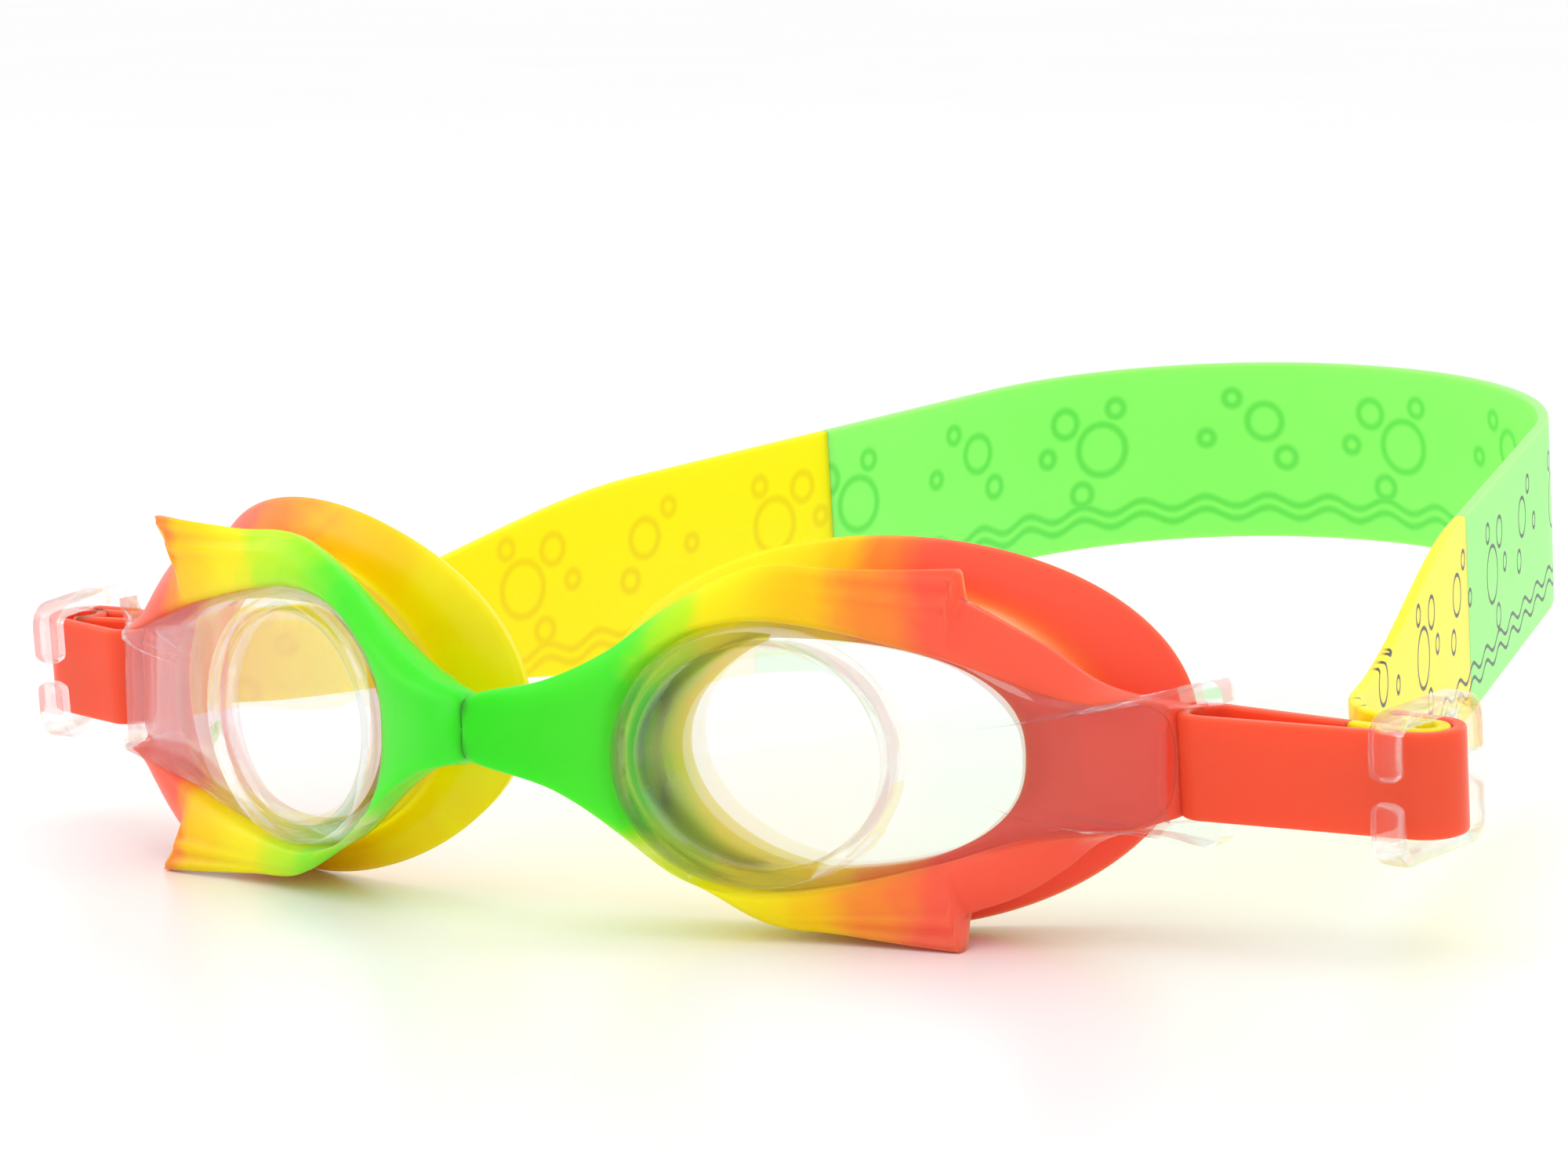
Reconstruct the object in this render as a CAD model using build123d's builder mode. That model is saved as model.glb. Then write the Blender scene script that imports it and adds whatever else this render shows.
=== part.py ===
"""Children's swim goggles: one-piece silicone frame, two clear lenses, adjustable strap, two clips.

X runs to the wearer-side right of the frame, Y runs backwards to the head, Z is up.
X = 0 is the mirror plane of the frame, Y = 0 the front of the nose bridge and Z = 0 the table.
"""
import os
from math import atan2, cos, degrees, hypot, radians, sin, tan

from build123d import *

os.makedirs("parts", exist_ok=True)

# ---- driving dimensions, millimetres and degrees ----
# lens: a flat oval window on a clear skin that turns back into the arm
eye_z = 20.9                # height of the middle of each window
window_x = 31.7             # middle of the window, at the front of the pane
window_y = 11.4
window_yaw = 18.7           # how far each window faces outwards
window_half_width = 16.5
window_half_height = 14.9
pane_thickness = 2.0
pane_bevel = 0.5            # the pane is this much smaller than its foot
pane_height = 3.0           # how far the pane stands out of the skin
rim_wall = 1.7              # wall of the raised rim around the window
skin_thickness = 1.8
arm_end_x = 79.0            # far end of the arm, carried out to the level of the pane's front
arm_end_y = 37.8
arm_end_slope = 52.0        # direction of the arm at its end, from +X
arm_z = 19.8                # height of the middle of the arm
side_window_x = 53.5        # the outline narrows through the side window to the neck of the arm
side_window_half = 10.4
arm_neck_x = 65.5
arm_neck_half = 6.8
arm_ear_half = 8.9
# slot and end bar of the arm
bar_inset = 1.1             # bar centre from the arm's end, along the arm
bar_radius = 1.0
slot_width = 4.8
slot_height = 13.0
slot_cut = 12.0             # more than the arm's thickness, so the slot goes right through

# silicone frame
frame_height = 43.0         # lowest to highest fin tip
bezel_depth = 8.2           # front to back of the bezel
bezel_behind_pane = 0.8     # bezel front behind the front of the pane
seat_ledge = 1.6            # silicone ledge that the lens skin sits on
opening_end_x = 60.0        # outboard end of the eye opening in the bezel
bridge_half = 12.0          # half length of the nose bridge
bridge_z = 23.7             # middle of the bridge's waist
bridge_waist = 7.4          # height of the waist
bridge_end_low = 15.4
bridge_end_high = 31.2
bridge_depth = 5.0
fin_tip_x = 54.2
fin_root_x = 40.0
fin_rise = 1.6              # how far the fin tip stands out past the pane's front
bezel_top = ((20.0, 36.5), (33.0, 42.8), (41.0, 42.2))     # front view, from the bridge to the fin
bezel_bottom = ((41.0, 1.0), (33.0, 1.6), (20.0, 9.0))     # from the lower fin to the bridge
bezel_side = ((54.5, 39.2), (61.0, 36.6), (69.0, 31.0), (72.6, 26.6),
              (72.6, 13.4), (67.5, 11.2), (62.5, 8.0), (54.5, 4.4))
bezel_floor_end_x = 70.0    # the floor under the lens skin stops here, before the arm leaves it
fin_inner_half = 14.0       # fins start this far above and below the window's middle

# face seal: waist, then a thin flared skirt
seal_yaw = 21.5
seal_x = 37.2               # middle of the rim that meets the face
seal_y = 34.7
seal_z = 22.3
seal_half_width = 34.7
seal_half_height = 22.3
seal_lip = 1.7              # thickness of the skirt
waist_x = 38.6
waist_y = 29.6
waist_half_width = 24.4
waist_half_height = 16.6
neck_x = 38.6               # front end of the seal, inside the bezel's outline
neck_y = 20.0
neck_yaw = 24.0
neck_half_width = 25.4
neck_half_height = 17.0
seal_wall = 2.2

# strap
strap_thickness = 1.5
narrow_width = 12.0         # the two ends that pass the arms and clips
wide_width = 25.0           # the band behind the head
strap_rise = 4.86           # the loop climbs this much to the back, degrees
loop_radius = 2.2           # inside radius of the strap around an arm's bar
inner_wrap_radius = 1.35    # inside radius of the first wrap on a clip's bar
wrap_gap = 0.2              # between the first and the second wrap
taper_start = 56.0          # the band widens between these two places behind the bridge
taper_end = 110.0
loop_stub = 2.6             # straight strap on each side of the bend round an arm's bar
# plan of the band, where its straight stretches meet, and the bends between them
right_leg_run = 12.5        # from a clip to the first corner, along the strap
left_leg_run = 7.8
back_corner_right = (49.0, 206.0)
back_corner_left = (-19.9, 206.0)
left_corner = (-58.3, 56.0)
right_leg_bend = 12.0
back_bend_right = 47.0
back_bend_left = 40.0
left_bend = 20.0
left_leg_bend = 18.0
right_green_y = 115.0       # where the green back changes to yellow
left_green_y = 144.0

# clips
clip_bar_radius = 1.1
clip_half_length = 8.6      # outside of a hook from the bar
clip_height = 17.4
clip_rail = 2.0             # thickness of the rails and hooks
clip_width = 4.0            # width of the rails and hooks
hook_gap = 2.4              # between the ends of the upper and lower hooks
right_clip_bar = (101.0, 40.5)
right_clip_yaw = 80.0       # direction from the bar to the rear hooks
left_clip_bar = (-85.2, 43.6)
left_clip_yaw = 90.0
clip_corner = 3.0
# free tails behind the clips bend with the band under them; right is 1, left is -1
tail_turn = {1: 26.0, -1: 16.0}
coral_end_x = {1: 92.0, -1: -77.0}     # where each coral end changes to yellow

# ---- derived values ----
across = (cos(radians(window_yaw)), sin(radians(window_yaw)))        # outboard along the window
facing = (sin(radians(window_yaw)), -cos(radians(window_yaw)))       # out of the window
arm_way = (cos(radians(arm_end_slope)), sin(radians(arm_end_slope)))  # outboard along the arm end
arm_back = (-arm_way[1], arm_way[0])                                 # square to the arm, to its back
bar_depth = pane_height + skin_thickness / 2
bar_x = arm_end_x - bar_inset * arm_way[0] + bar_depth * arm_back[0]
bar_y = arm_end_y - bar_inset * arm_way[1] + bar_depth * arm_back[1]
big = 300.0                 # longer than anything that is cut


def shifted(point, way, distance):
    """A point of the plan moved along a direction."""
    return (point[0] + way[0] * distance, point[1] + way[1] * distance)


def turned(angle):
    """The plan direction at an angle from +X."""
    return (cos(radians(angle)), sin(radians(angle)))


window_middle = (window_x, window_y)
nose_edge = shifted(window_middle, across, -window_half_width)
outer_edge = shifted(window_middle, across, window_half_width)


def mirrored_pair(name, part):
    """Write a right-hand piece and its mirror image."""
    for side, solid in (("right", part), ("left", mirror(part, about=Plane.YZ))):
        solid.label = f"{side}_{name}"
        export_step(solid, f"parts/{side}_{name}.step")


# ---- plan curves of the lens side ----
def shell_curve(depth, nose_run):
    """Plan line that follows the front of the lens, depth behind it, from a nose run to the arm's end."""
    back = (-facing[0], -facing[1])
    start = shifted(shifted(nose_edge, across, -nose_run), back, depth)
    bend = shifted(outer_edge, back, depth)
    end = shifted((arm_end_x, arm_end_y), arm_back, depth)
    Line(start, bend)
    Spline(bend, end, tangents=(across, arm_way))
    return start, end


def shell_face(front_depth, rear_depth, nose_run):
    """Closed plan profile between two depths behind the front of the lens."""
    with BuildLine() as profile:
        front_start, front_end = shell_curve(front_depth, nose_run)
        rear_start, rear_end = shell_curve(rear_depth, nose_run)
        Line(front_start, rear_start)
        Line(front_end, rear_end)
    make_face(profile.edges())


def window_plane(depth):
    """Plane parallel to the window, depth behind the front of the pane."""
    middle = shifted(window_middle, facing, -depth)
    return Plane(origin=(middle[0], middle[1], eye_z), x_dir=(across[0], across[1], 0),
                 z_dir=(facing[0], facing[1], 0))


front_view = Plane(origin=(0, 0, 0), x_dir=(1, 0, 0), z_dir=(0, -1, 0))

skin_front = pane_height
skin_back = pane_height + skin_thickness


def lens_outline(inset, end_x=None):
    """Front view of the lens: window, side window, neck and ears; or cut short for the eye opening."""
    top_z = eye_z + window_half_height - inset
    low_z = eye_z - window_half_height + inset
    left = nose_edge[0] + inset
    side_half = side_window_half - inset
    with BuildLine() as outline:
        if end_x is None:
            neck = arm_neck_half - inset
            ear = arm_ear_half - inset
            Spline((window_x, top_z), (side_window_x, eye_z + side_half), (arm_neck_x, arm_z + neck),
                   (arm_end_x, arm_z + ear), tangents=((1, 0), (0.93, 0.37)))
            Line((arm_end_x, arm_z + ear), (arm_end_x, arm_z - ear))
            Spline((arm_end_x, arm_z - ear), (arm_neck_x, arm_z - neck), (side_window_x, eye_z - side_half),
                   (window_x, low_z), tangents=((-0.93, 0.37), (-1, 0)))
        else:
            Spline((window_x, top_z), (side_window_x, eye_z + side_half), (end_x, eye_z),
                   tangents=((1, 0), (0, -1)))
            Spline((end_x, eye_z), (side_window_x, eye_z - side_half), (window_x, low_z),
                   tangents=((0, -1), (-1, 0)))
        Spline((window_x, low_z), (left, eye_z), (window_x, top_z), tangents=((-1, 0), (1, 0)))
    make_face(outline.edges())


# room for the raised pane, wherever silicone surrounds it
with BuildPart() as pane_room:
    with BuildSketch(window_plane(-big / 10)):
        Ellipse(window_half_width, window_half_height)
    extrude(amount=-big / 10 - skin_back)

# ---- lens ----
with BuildPart() as lens:
    with BuildSketch(Plane.XY):
        shell_face(skin_front, skin_back, 0)
    extrude(amount=frame_height)
    with BuildSketch(front_view):
        lens_outline(0)
    extrude(amount=-big, mode=Mode.INTERSECT)
    # raised pane: solid plug, hollowed from behind
    with BuildSketch(window_plane(0)):
        Ellipse(window_half_width - pane_bevel, window_half_height - pane_bevel)
    with BuildSketch(window_plane(skin_back)):
        Ellipse(window_half_width, window_half_height)
    loft()
    with BuildSketch(window_plane(pane_thickness)):
        Ellipse(window_half_width - rim_wall, window_half_height - rim_wall)
    extrude(amount=-big / 10, mode=Mode.SUBTRACT)
    # slot for the strap, just inside the end bar
    with BuildSketch(Plane.XY.offset(arm_z - slot_height / 2)):
        with Locations(Location((bar_x, bar_y), arm_end_slope)):
            with Locations((-bar_radius - slot_width / 2, 0)):
                Rectangle(slot_width, slot_cut)
    extrude(amount=slot_height, mode=Mode.SUBTRACT)
mirrored_pair("lens", lens.part)

# ---- bezel, with a floor under the lens skin ----
with BuildPart() as bezel_floor:
    with BuildSketch(Plane.XY):
        shell_face(skin_back, bezel_depth, 0)
    extrude(amount=frame_height)
    with BuildSketch(front_view):
        lens_outline(0)
    extrude(amount=-big, mode=Mode.INTERSECT)
    with BuildSketch(front_view):
        with BuildLine():
            Polyline((0, 0), (bezel_floor_end_x, 0), (bezel_floor_end_x, frame_height), (0, frame_height),
                     close=True)
        make_face()
    extrude(amount=-big, mode=Mode.INTERSECT)
    with BuildSketch(front_view):
        lens_outline(seat_ledge, opening_end_x)
    extrude(amount=-big, mode=Mode.SUBTRACT)
with BuildPart() as bezel:
    with BuildSketch(Plane.XY):
        shell_face(bezel_behind_pane, bezel_depth, 2 * (nose_edge[0] - bridge_half))
    extrude(amount=frame_height + 1)
    # fins: wedges that rise outboard from the bezel's face
    with BuildSketch(Plane.XY) as fin_plan:
        root = shifted(nose_edge, across, (fin_root_x - nose_edge[0]) / across[0])
        tip = shifted(nose_edge, across, (fin_tip_x - nose_edge[0]) / across[0])
        with BuildLine():
            Polyline(shifted(root, facing, -bezel_behind_pane), shifted(tip, facing, fin_rise),
                     shifted(tip, facing, -bezel_depth), shifted(root, facing, -bezel_depth), close=True)
        make_face()
    extrude(amount=frame_height + 1)
    with BuildSketch(front_view):
        with BuildLine():
            Spline((bridge_half, bridge_end_high), *bezel_top, (fin_tip_x, frame_height),
                   tangents=((0.9, 0.44), (0.93, 0.2)))
            Polyline((fin_tip_x, frame_height), *bezel_side, (fin_tip_x, 0))
            Spline((fin_tip_x, 0), *bezel_bottom, (bridge_half, bridge_end_low),
                   tangents=((-0.99, 0.1), (-0.8, 0.55)))
            Line((bridge_half, bridge_end_low), (bridge_half, bridge_end_high))
        make_face()
    extrude(amount=-big, mode=Mode.INTERSECT)
    # keep the space between the fins at the bezel's own face
    with BuildSketch(Plane.XY.offset(eye_z - fin_inner_half)):
        shell_face(-2 * fin_rise, bezel_behind_pane, 0)
    extrude(amount=2 * fin_inner_half, mode=Mode.SUBTRACT)
    # seat for the lens skin, open to the front
    with BuildSketch(front_view):
        lens_outline(0)
    extrude(amount=-big, mode=Mode.SUBTRACT)
    add(bezel_floor.part)
    add(pane_room.part, mode=Mode.SUBTRACT)
mirrored_pair("bezel", bezel.part)
print("lens", lens.part.volume, "solids", len(lens.part.solids()))
print("bezel", bezel.part.volume, "solids", len(bezel.part.solids()))

# ---- nose bridge ----
bridge_front_end = shifted(nose_edge, across, -(nose_edge[0] - bridge_half) / across[0])
bridge_front_y = bridge_front_end[1] + bezel_behind_pane / across[0]
with BuildPart() as bridge:
    with BuildSketch(Plane.XY):
        with BuildLine():
            Spline((-bridge_half, bridge_front_y), (0, 0), (bridge_half, bridge_front_y),
                   tangents=((across[0], -across[1]), across))
            Line((bridge_half, bridge_front_y), (bridge_half, bridge_front_y + bridge_depth))
            Spline((bridge_half, bridge_front_y + bridge_depth), (0, bridge_depth),
                   (-bridge_half, bridge_front_y + bridge_depth), tangents=((-0.9, -0.43), (-0.9, 0.43)))
            Line((-bridge_half, bridge_front_y + bridge_depth), (-bridge_half, bridge_front_y))
        make_face()
    extrude(amount=frame_height)
    with BuildSketch(front_view):
        with BuildLine():
            Spline((-bridge_half, bridge_end_high), (0, bridge_z + bridge_waist / 2),
                   (bridge_half, bridge_end_high), tangents=((0.85, -0.53), (0.85, 0.53)))
            Line((bridge_half, bridge_end_high), (bridge_half, bridge_end_low))
            Spline((bridge_half, bridge_end_low), (0, bridge_z - bridge_waist / 2),
                   (-bridge_half, bridge_end_low), tangents=((-0.8, 0.6), (-0.8, -0.6)))
            Line((-bridge_half, bridge_end_low), (-bridge_half, bridge_end_high))
        make_face()
    extrude(amount=-big, mode=Mode.INTERSECT)
bridge.part.label = "nose_bridge"
export_step(bridge.part, "parts/nose_bridge.step")


# ---- face seals ----
def seal_plane(x, y, z, yaw, ahead=0.0):
    """Plane across the eye cup at a point, its normal out of the front; ahead moves it forwards."""
    front = (sin(radians(yaw)), -cos(radians(yaw)))
    return Plane(origin=(x + front[0] * ahead, y + front[1] * ahead, z),
                 x_dir=(cos(radians(yaw)), sin(radians(yaw)), 0), z_dir=(front[0], front[1], 0))


rim_plane = seal_plane(seal_x, seal_y, seal_z, seal_yaw)
waist_plane = seal_plane(waist_x, waist_y, eye_z, seal_yaw)
neck_plane = seal_plane(neck_x, neck_y, eye_z, neck_yaw)
with BuildPart() as seal:
    with BuildSketch(neck_plane):
        Ellipse(neck_half_width, neck_half_height)
    with BuildSketch(waist_plane):
        Ellipse(waist_half_width, waist_half_height)
    loft(ruled=True)
    with BuildSketch(waist_plane):
        Ellipse(waist_half_width, waist_half_height)
    with BuildSketch(rim_plane):
        Ellipse(seal_half_width, seal_half_height)
    loft(ruled=True)
    # inside of the eye cup
    with BuildSketch(neck_plane):
        Ellipse(neck_half_width - seal_wall, neck_half_height - seal_wall)
    with BuildSketch(waist_plane):
        Ellipse(waist_half_width - seal_wall, waist_half_height - seal_wall)
    loft(ruled=True, mode=Mode.SUBTRACT)
    with BuildSketch(waist_plane):
        Ellipse(waist_half_width - seal_wall, waist_half_height - seal_wall)
    with BuildSketch(rim_plane):
        Ellipse(seal_half_width - seal_lip, seal_half_height - seal_lip)
    loft(ruled=True, mode=Mode.SUBTRACT)
    # the cup starts at the back of the bezel and of the bridge's end
    with BuildSketch(Plane.XY):
        shell_face(-seal_y, bezel_depth, seal_half_width)
    extrude(amount=frame_height + 5, mode=Mode.SUBTRACT)
mirrored_pair("face_seal", seal.part)
print("seal", seal.part.volume, "solids", len(seal.part.solids()))

# ---- strap: plan lines on a plane that climbs to the back through the arms' bars ----
rise = radians(strap_rise)
strap_plane = Plane(origin=(0, 0, arm_z - bar_y * tan(rise)), x_dir=(1, 0, 0), z_dir=(0, -sin(rise), cos(rise)))
loop_line = loop_radius + strap_thickness / 2                 # centre line radii
inner_line = inner_wrap_radius + strap_thickness / 2
outer_line = inner_line + strap_thickness + wrap_gap


def heading(start, end):
    """Angle of the line between two plan points, from +X, degrees."""
    return degrees(atan2(end[1] - start[1], end[0] - start[0]))


def tangent_line(start_middle, start_radius, end_middle, end_radius):
    """Line that touches two circles; a radius is positive where the circle lies on the line's left."""
    gap = hypot(end_middle[0] - start_middle[0], end_middle[1] - start_middle[1])
    way = heading(start_middle, end_middle) + degrees(
        atan2(start_radius - end_radius, (gap ** 2 - (start_radius - end_radius) ** 2) ** 0.5))
    side = turned(way - 90)
    return (shifted(start_middle, side, start_radius), shifted(end_middle, side, end_radius), way)


def strip(lines, width):
    """Strap of one width that stands on the plan lines, centred on the strap's plane."""
    with BuildPart() as band:
        with BuildSketch(strap_plane):
            trace(lines, line_width=strap_thickness)
        extrude(amount=width / 2, both=True)
    return band.part


def write(name, part):
    """Write one piece under its own name."""
    part.label = name
    export_step(part, f"parts/{name}.step")
    print(name, round(part.volume, 1), "solids", len(part.solids()))


arm_bar = {1: (bar_x, bar_y / cos(rise)), -1: (-bar_x, bar_y / cos(rise))}
clip_bar = {1: right_clip_bar, -1: left_clip_bar}
clip_yaw = {1: right_clip_yaw, -1: left_clip_yaw}
leg_run = {1: right_leg_run, -1: left_leg_run}
leg_bend = {1: right_leg_bend, -1: left_leg_bend}
leg_start = {}
leg_corner = {}
next_corner = {1: back_corner_right, -1: left_corner}
tail_straight = {}
for hand in (1, -1):
    leg_way = turned(clip_yaw[hand] + 90 * hand)
    leg_start[hand] = shifted(clip_bar[hand], turned(clip_yaw[hand]), inner_line)
    leg_corner[hand] = shifted(leg_start[hand], leg_way, leg_run[hand])
    leg_turn = heading(leg_corner[hand], next_corner[hand]) - clip_yaw[hand] - 90 * hand
    tail_straight[hand] = leg_run[hand] - leg_bend[hand] * tan(radians(abs(leg_turn)) / 2)

# band: from the right clip, behind the head, to the left clip
with BuildLine() as band_line:
    FilletPolyline(leg_start[1], leg_corner[1], back_corner_right, back_corner_left, left_corner,
                   leg_corner[-1], leg_start[-1],
                   radius=(right_leg_bend, back_bend_right, back_bend_left, left_bend, left_leg_bend))
side_plane = Plane(origin=strap_plane.origin, x_dir=strap_plane.y_dir, z_dir=(1, 0, 0))
with BuildPart() as band:
    add(strip(band_line.edges(), wide_width))
    with BuildSketch(side_plane):
        with BuildLine():
            Line((0, narrow_width / 2), (taper_start, narrow_width / 2))
            Spline((taper_start, narrow_width / 2), (taper_end, wide_width / 2), tangents=((1, 0), (1, 0)))
            Polyline((taper_end, wide_width / 2), (big, wide_width / 2), (big, -wide_width / 2),
                     (taper_end, -wide_width / 2))
            Spline((taper_end, -wide_width / 2), (taper_start, -narrow_width / 2), tangents=((-1, 0), (-1, 0)))
            Polyline((taper_start, -narrow_width / 2), (0, -narrow_width / 2), (0, narrow_width / 2))
        make_face()
    extrude(amount=big, both=True, mode=Mode.INTERSECT)


def piece_of(part, low_x, high_x, low_y, high_y):
    """The part of a strap solid between two X planes and two Y planes."""
    with BuildPart() as cut:
        add(part)
        with BuildSketch(Plane.XY.offset(-frame_height)):
            with BuildLine():
                Polyline((low_x, low_y), (high_x, low_y), (high_x, high_y), (low_x, high_y), close=True)
            make_face()
        extrude(amount=3 * frame_height, mode=Mode.INTERSECT)
    return cut.part


def joined(first, second):
    """One solid from two touching lengths of strap."""
    with BuildPart() as whole:
        add(first)
        add(second)
    return whole.part


write("green_back_band", joined(piece_of(band.part, 0, big, right_green_y, big),
                                piece_of(band.part, -big, 0, left_green_y, big)))

for hand, side in ((1, "right"), (-1, "left")):
    arm, clip, yaw = arm_bar[hand], clip_bar[hand], clip_yaw[hand]
    front_start, front_end, front_way = tangent_line(arm, hand * loop_line, clip, hand * outer_line)
    rear_start, rear_end, rear_way = tangent_line(arm, -hand * loop_line, clip, hand * inner_line)
    stub_front = shifted(front_start, turned(front_way), loop_stub)
    stub_rear = shifted(rear_start, turned(rear_way), loop_stub)
    inner_mid = turned((rear_way - 90 * hand + yaw) / 2)
    outer_mid = turned((front_way - 90 * hand + yaw) / 2)
    tail_way = yaw + 90 * hand
    tail_start = shifted(clip, turned(yaw), outer_line)
    # loop round the arm's bar, through the slot
    with BuildLine() as loop_path:
        Line(stub_front, front_start)
        ThreePointArc(front_start, shifted(arm, turned((front_way + rear_way) / 2), -loop_line), rear_start)
        Line(rear_start, stub_rear)
    write(f"{side}_arm_loop", strip(loop_path.edges(), narrow_width))
    # front layer, folded over the first wrap, and the free tail
    with BuildLine() as front_path:
        Line(stub_front, front_end)
        ThreePointArc(front_end, shifted(clip, outer_mid, outer_line), tail_start)
        Line(tail_start, shifted(tail_start, turned(tail_way), tail_straight[hand]))
        JernArc(shifted(tail_start, turned(tail_way), tail_straight[hand]), turned(tail_way),
                leg_bend[hand] - outer_line + inner_line, -hand * tail_turn[hand])
    write(f"{side}_tail_run", strip(front_path.edges(), narrow_width))
    # rear layer and the first wrap on the clip's bar
    with BuildLine() as rear_path:
        Line(stub_rear, rear_end)
        ThreePointArc(rear_end, shifted(clip, inner_mid, inner_line), leg_start[hand])
    rear = strip(rear_path.edges(), narrow_width)
    coral_end = coral_end_x[hand]
    if hand == 1:
        write("right_rear_run", piece_of(rear, 0, coral_end, 0, big))
        write("right_yellow_band", joined(piece_of(rear, coral_end, big, 0, big),
                                          piece_of(band.part, 0, big, 0, right_green_y)))
    else:
        write("left_rear_run", joined(rear, piece_of(band.part, -big, coral_end, 0, big)))
        write("left_yellow_band", piece_of(band.part, coral_end, 0, 0, left_green_y))

# ---- clips ----
for hand, side in ((1, "right"), (-1, "left")):
    way = turned(clip_yaw[hand])
    along = strap_plane.x_dir * way[0] + strap_plane.y_dir * way[1]
    middle = strap_plane.from_local_coords((clip_bar[hand][0], clip_bar[hand][1], 0))
    frame_plane = Plane(origin=middle, x_dir=along, z_dir=along.cross(strap_plane.z_dir))
    bar_plane = Plane(origin=middle, x_dir=along, z_dir=strap_plane.z_dir)
    with BuildPart() as clip_body:
        with BuildSketch(frame_plane):
            RectangleRounded(2 * clip_half_length, clip_height, clip_corner)
            RectangleRounded(2 * (clip_half_length - clip_rail), clip_height - 2 * clip_rail, clip_corner / 2,
                             mode=Mode.SUBTRACT)
            Rectangle(3 * clip_half_length, hook_gap, mode=Mode.SUBTRACT)
        extrude(amount=clip_width / 2, both=True)
        with BuildSketch(bar_plane):
            Circle(clip_bar_radius)
        extrude(amount=clip_height / 2 - clip_rail / 2, both=True)
    write(f"{side}_clip", clip_body.part)
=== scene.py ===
"""Children's swim goggles: one-piece silicone frame, clear lenses, three-colour strap, clear clips.

Lengths inside the classes are millimetres; meshes are written in metres in the row frame:
X to the right-hand lens, Y back to the head, Z up, table at Z = 0, mirror plane at X = 0.
"""

import logging
import math
from dataclasses import dataclass, field
from enum import Enum
from typing import Sequence

import bmesh
import bpy
import numpy as np
from mathutils import Matrix, Vector

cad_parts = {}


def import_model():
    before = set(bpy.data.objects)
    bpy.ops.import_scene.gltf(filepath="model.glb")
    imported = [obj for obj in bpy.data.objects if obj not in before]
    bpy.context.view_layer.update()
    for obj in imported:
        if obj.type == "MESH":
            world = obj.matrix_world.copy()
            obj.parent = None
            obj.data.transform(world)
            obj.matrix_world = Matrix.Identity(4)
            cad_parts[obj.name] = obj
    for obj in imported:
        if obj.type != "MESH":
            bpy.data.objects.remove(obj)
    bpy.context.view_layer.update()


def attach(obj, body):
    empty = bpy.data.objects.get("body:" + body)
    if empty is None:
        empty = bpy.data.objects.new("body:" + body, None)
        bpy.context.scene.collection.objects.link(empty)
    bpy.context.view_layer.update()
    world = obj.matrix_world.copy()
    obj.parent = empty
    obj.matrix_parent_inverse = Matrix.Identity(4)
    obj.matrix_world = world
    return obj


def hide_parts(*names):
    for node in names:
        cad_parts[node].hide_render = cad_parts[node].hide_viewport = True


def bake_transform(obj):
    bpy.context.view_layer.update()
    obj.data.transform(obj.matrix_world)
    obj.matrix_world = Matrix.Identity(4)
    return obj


MM = 0.001
log = logging.getLogger("goggles")


class Side(Enum):
    """The two sides of the goggles; the value is the sign of X."""

    RIGHT = 1
    LEFT = -1

    @property
    def word(self) -> str:
        """The side's name in a piece name."""
        return self.name.lower()


# ---------------------------------------------------------------- colour and nodes
def linear(hex_colour: str) -> tuple[float, float, float, float]:
    """Turn an sRGB hex colour such as FFEE00 into linear red, green, blue and full alpha."""
    values = [int(hex_colour[i:i + 2], 16) / 255 for i in (0, 2, 4)]
    red, green, blue = (v / 12.92 if v <= 0.04045 else ((v + 0.055) / 1.055) ** 2.4 for v in values)
    return red, green, blue, 1.0


def add_node(
    tree: bpy.types.NodeTree, kind: str, settings: dict | None = None, links: dict | None = None
) -> bpy.types.Node:
    """Add a node with its settings, socket values and links.

    Args:
        tree: the node tree.
        kind: the node's type name without the leading ShaderNode.
        settings: attributes of the node; a key in brackets such as [Scale] is an input's value.
        links: input name or number to the output socket that feeds it.

    Returns:
        The new node.
    """
    node = tree.nodes.new(f"ShaderNode{kind}")
    for key, value in (settings or {}).items():
        if key.startswith("["):
            name = key[1:-1]
            node.inputs[int(name) if name.isdigit() else name].default_value = value
        else:
            setattr(node, key, value)
    for key, socket in (links or {}).items():
        tree.links.new(socket, node.inputs[key])
    return node


def set_ramp(node: bpy.types.Node, stops: Sequence[tuple[float, str]]) -> None:
    """Give a colour ramp its stops, as (position, sRGB hex) pairs."""
    elements = node.color_ramp.elements
    while len(elements) > 1:
        elements.remove(elements[-1])
    for i, (position, colour) in enumerate(stops):
        element = elements[0] if i == 0 else elements.new(position)
        element.position = position
        element.color = linear(colour)


def new_material(name: str) -> tuple[bpy.types.Material, bpy.types.NodeTree, bpy.types.Node]:
    """Make a material with a Principled shader.

    Args:
        name: the material's name.

    Returns:
        The material, its node tree and the Principled node.
    """
    material = bpy.data.materials.new(name)
    material.use_nodes = True
    tree = material.node_tree
    return material, tree, tree.nodes["Principled BSDF"]


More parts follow.
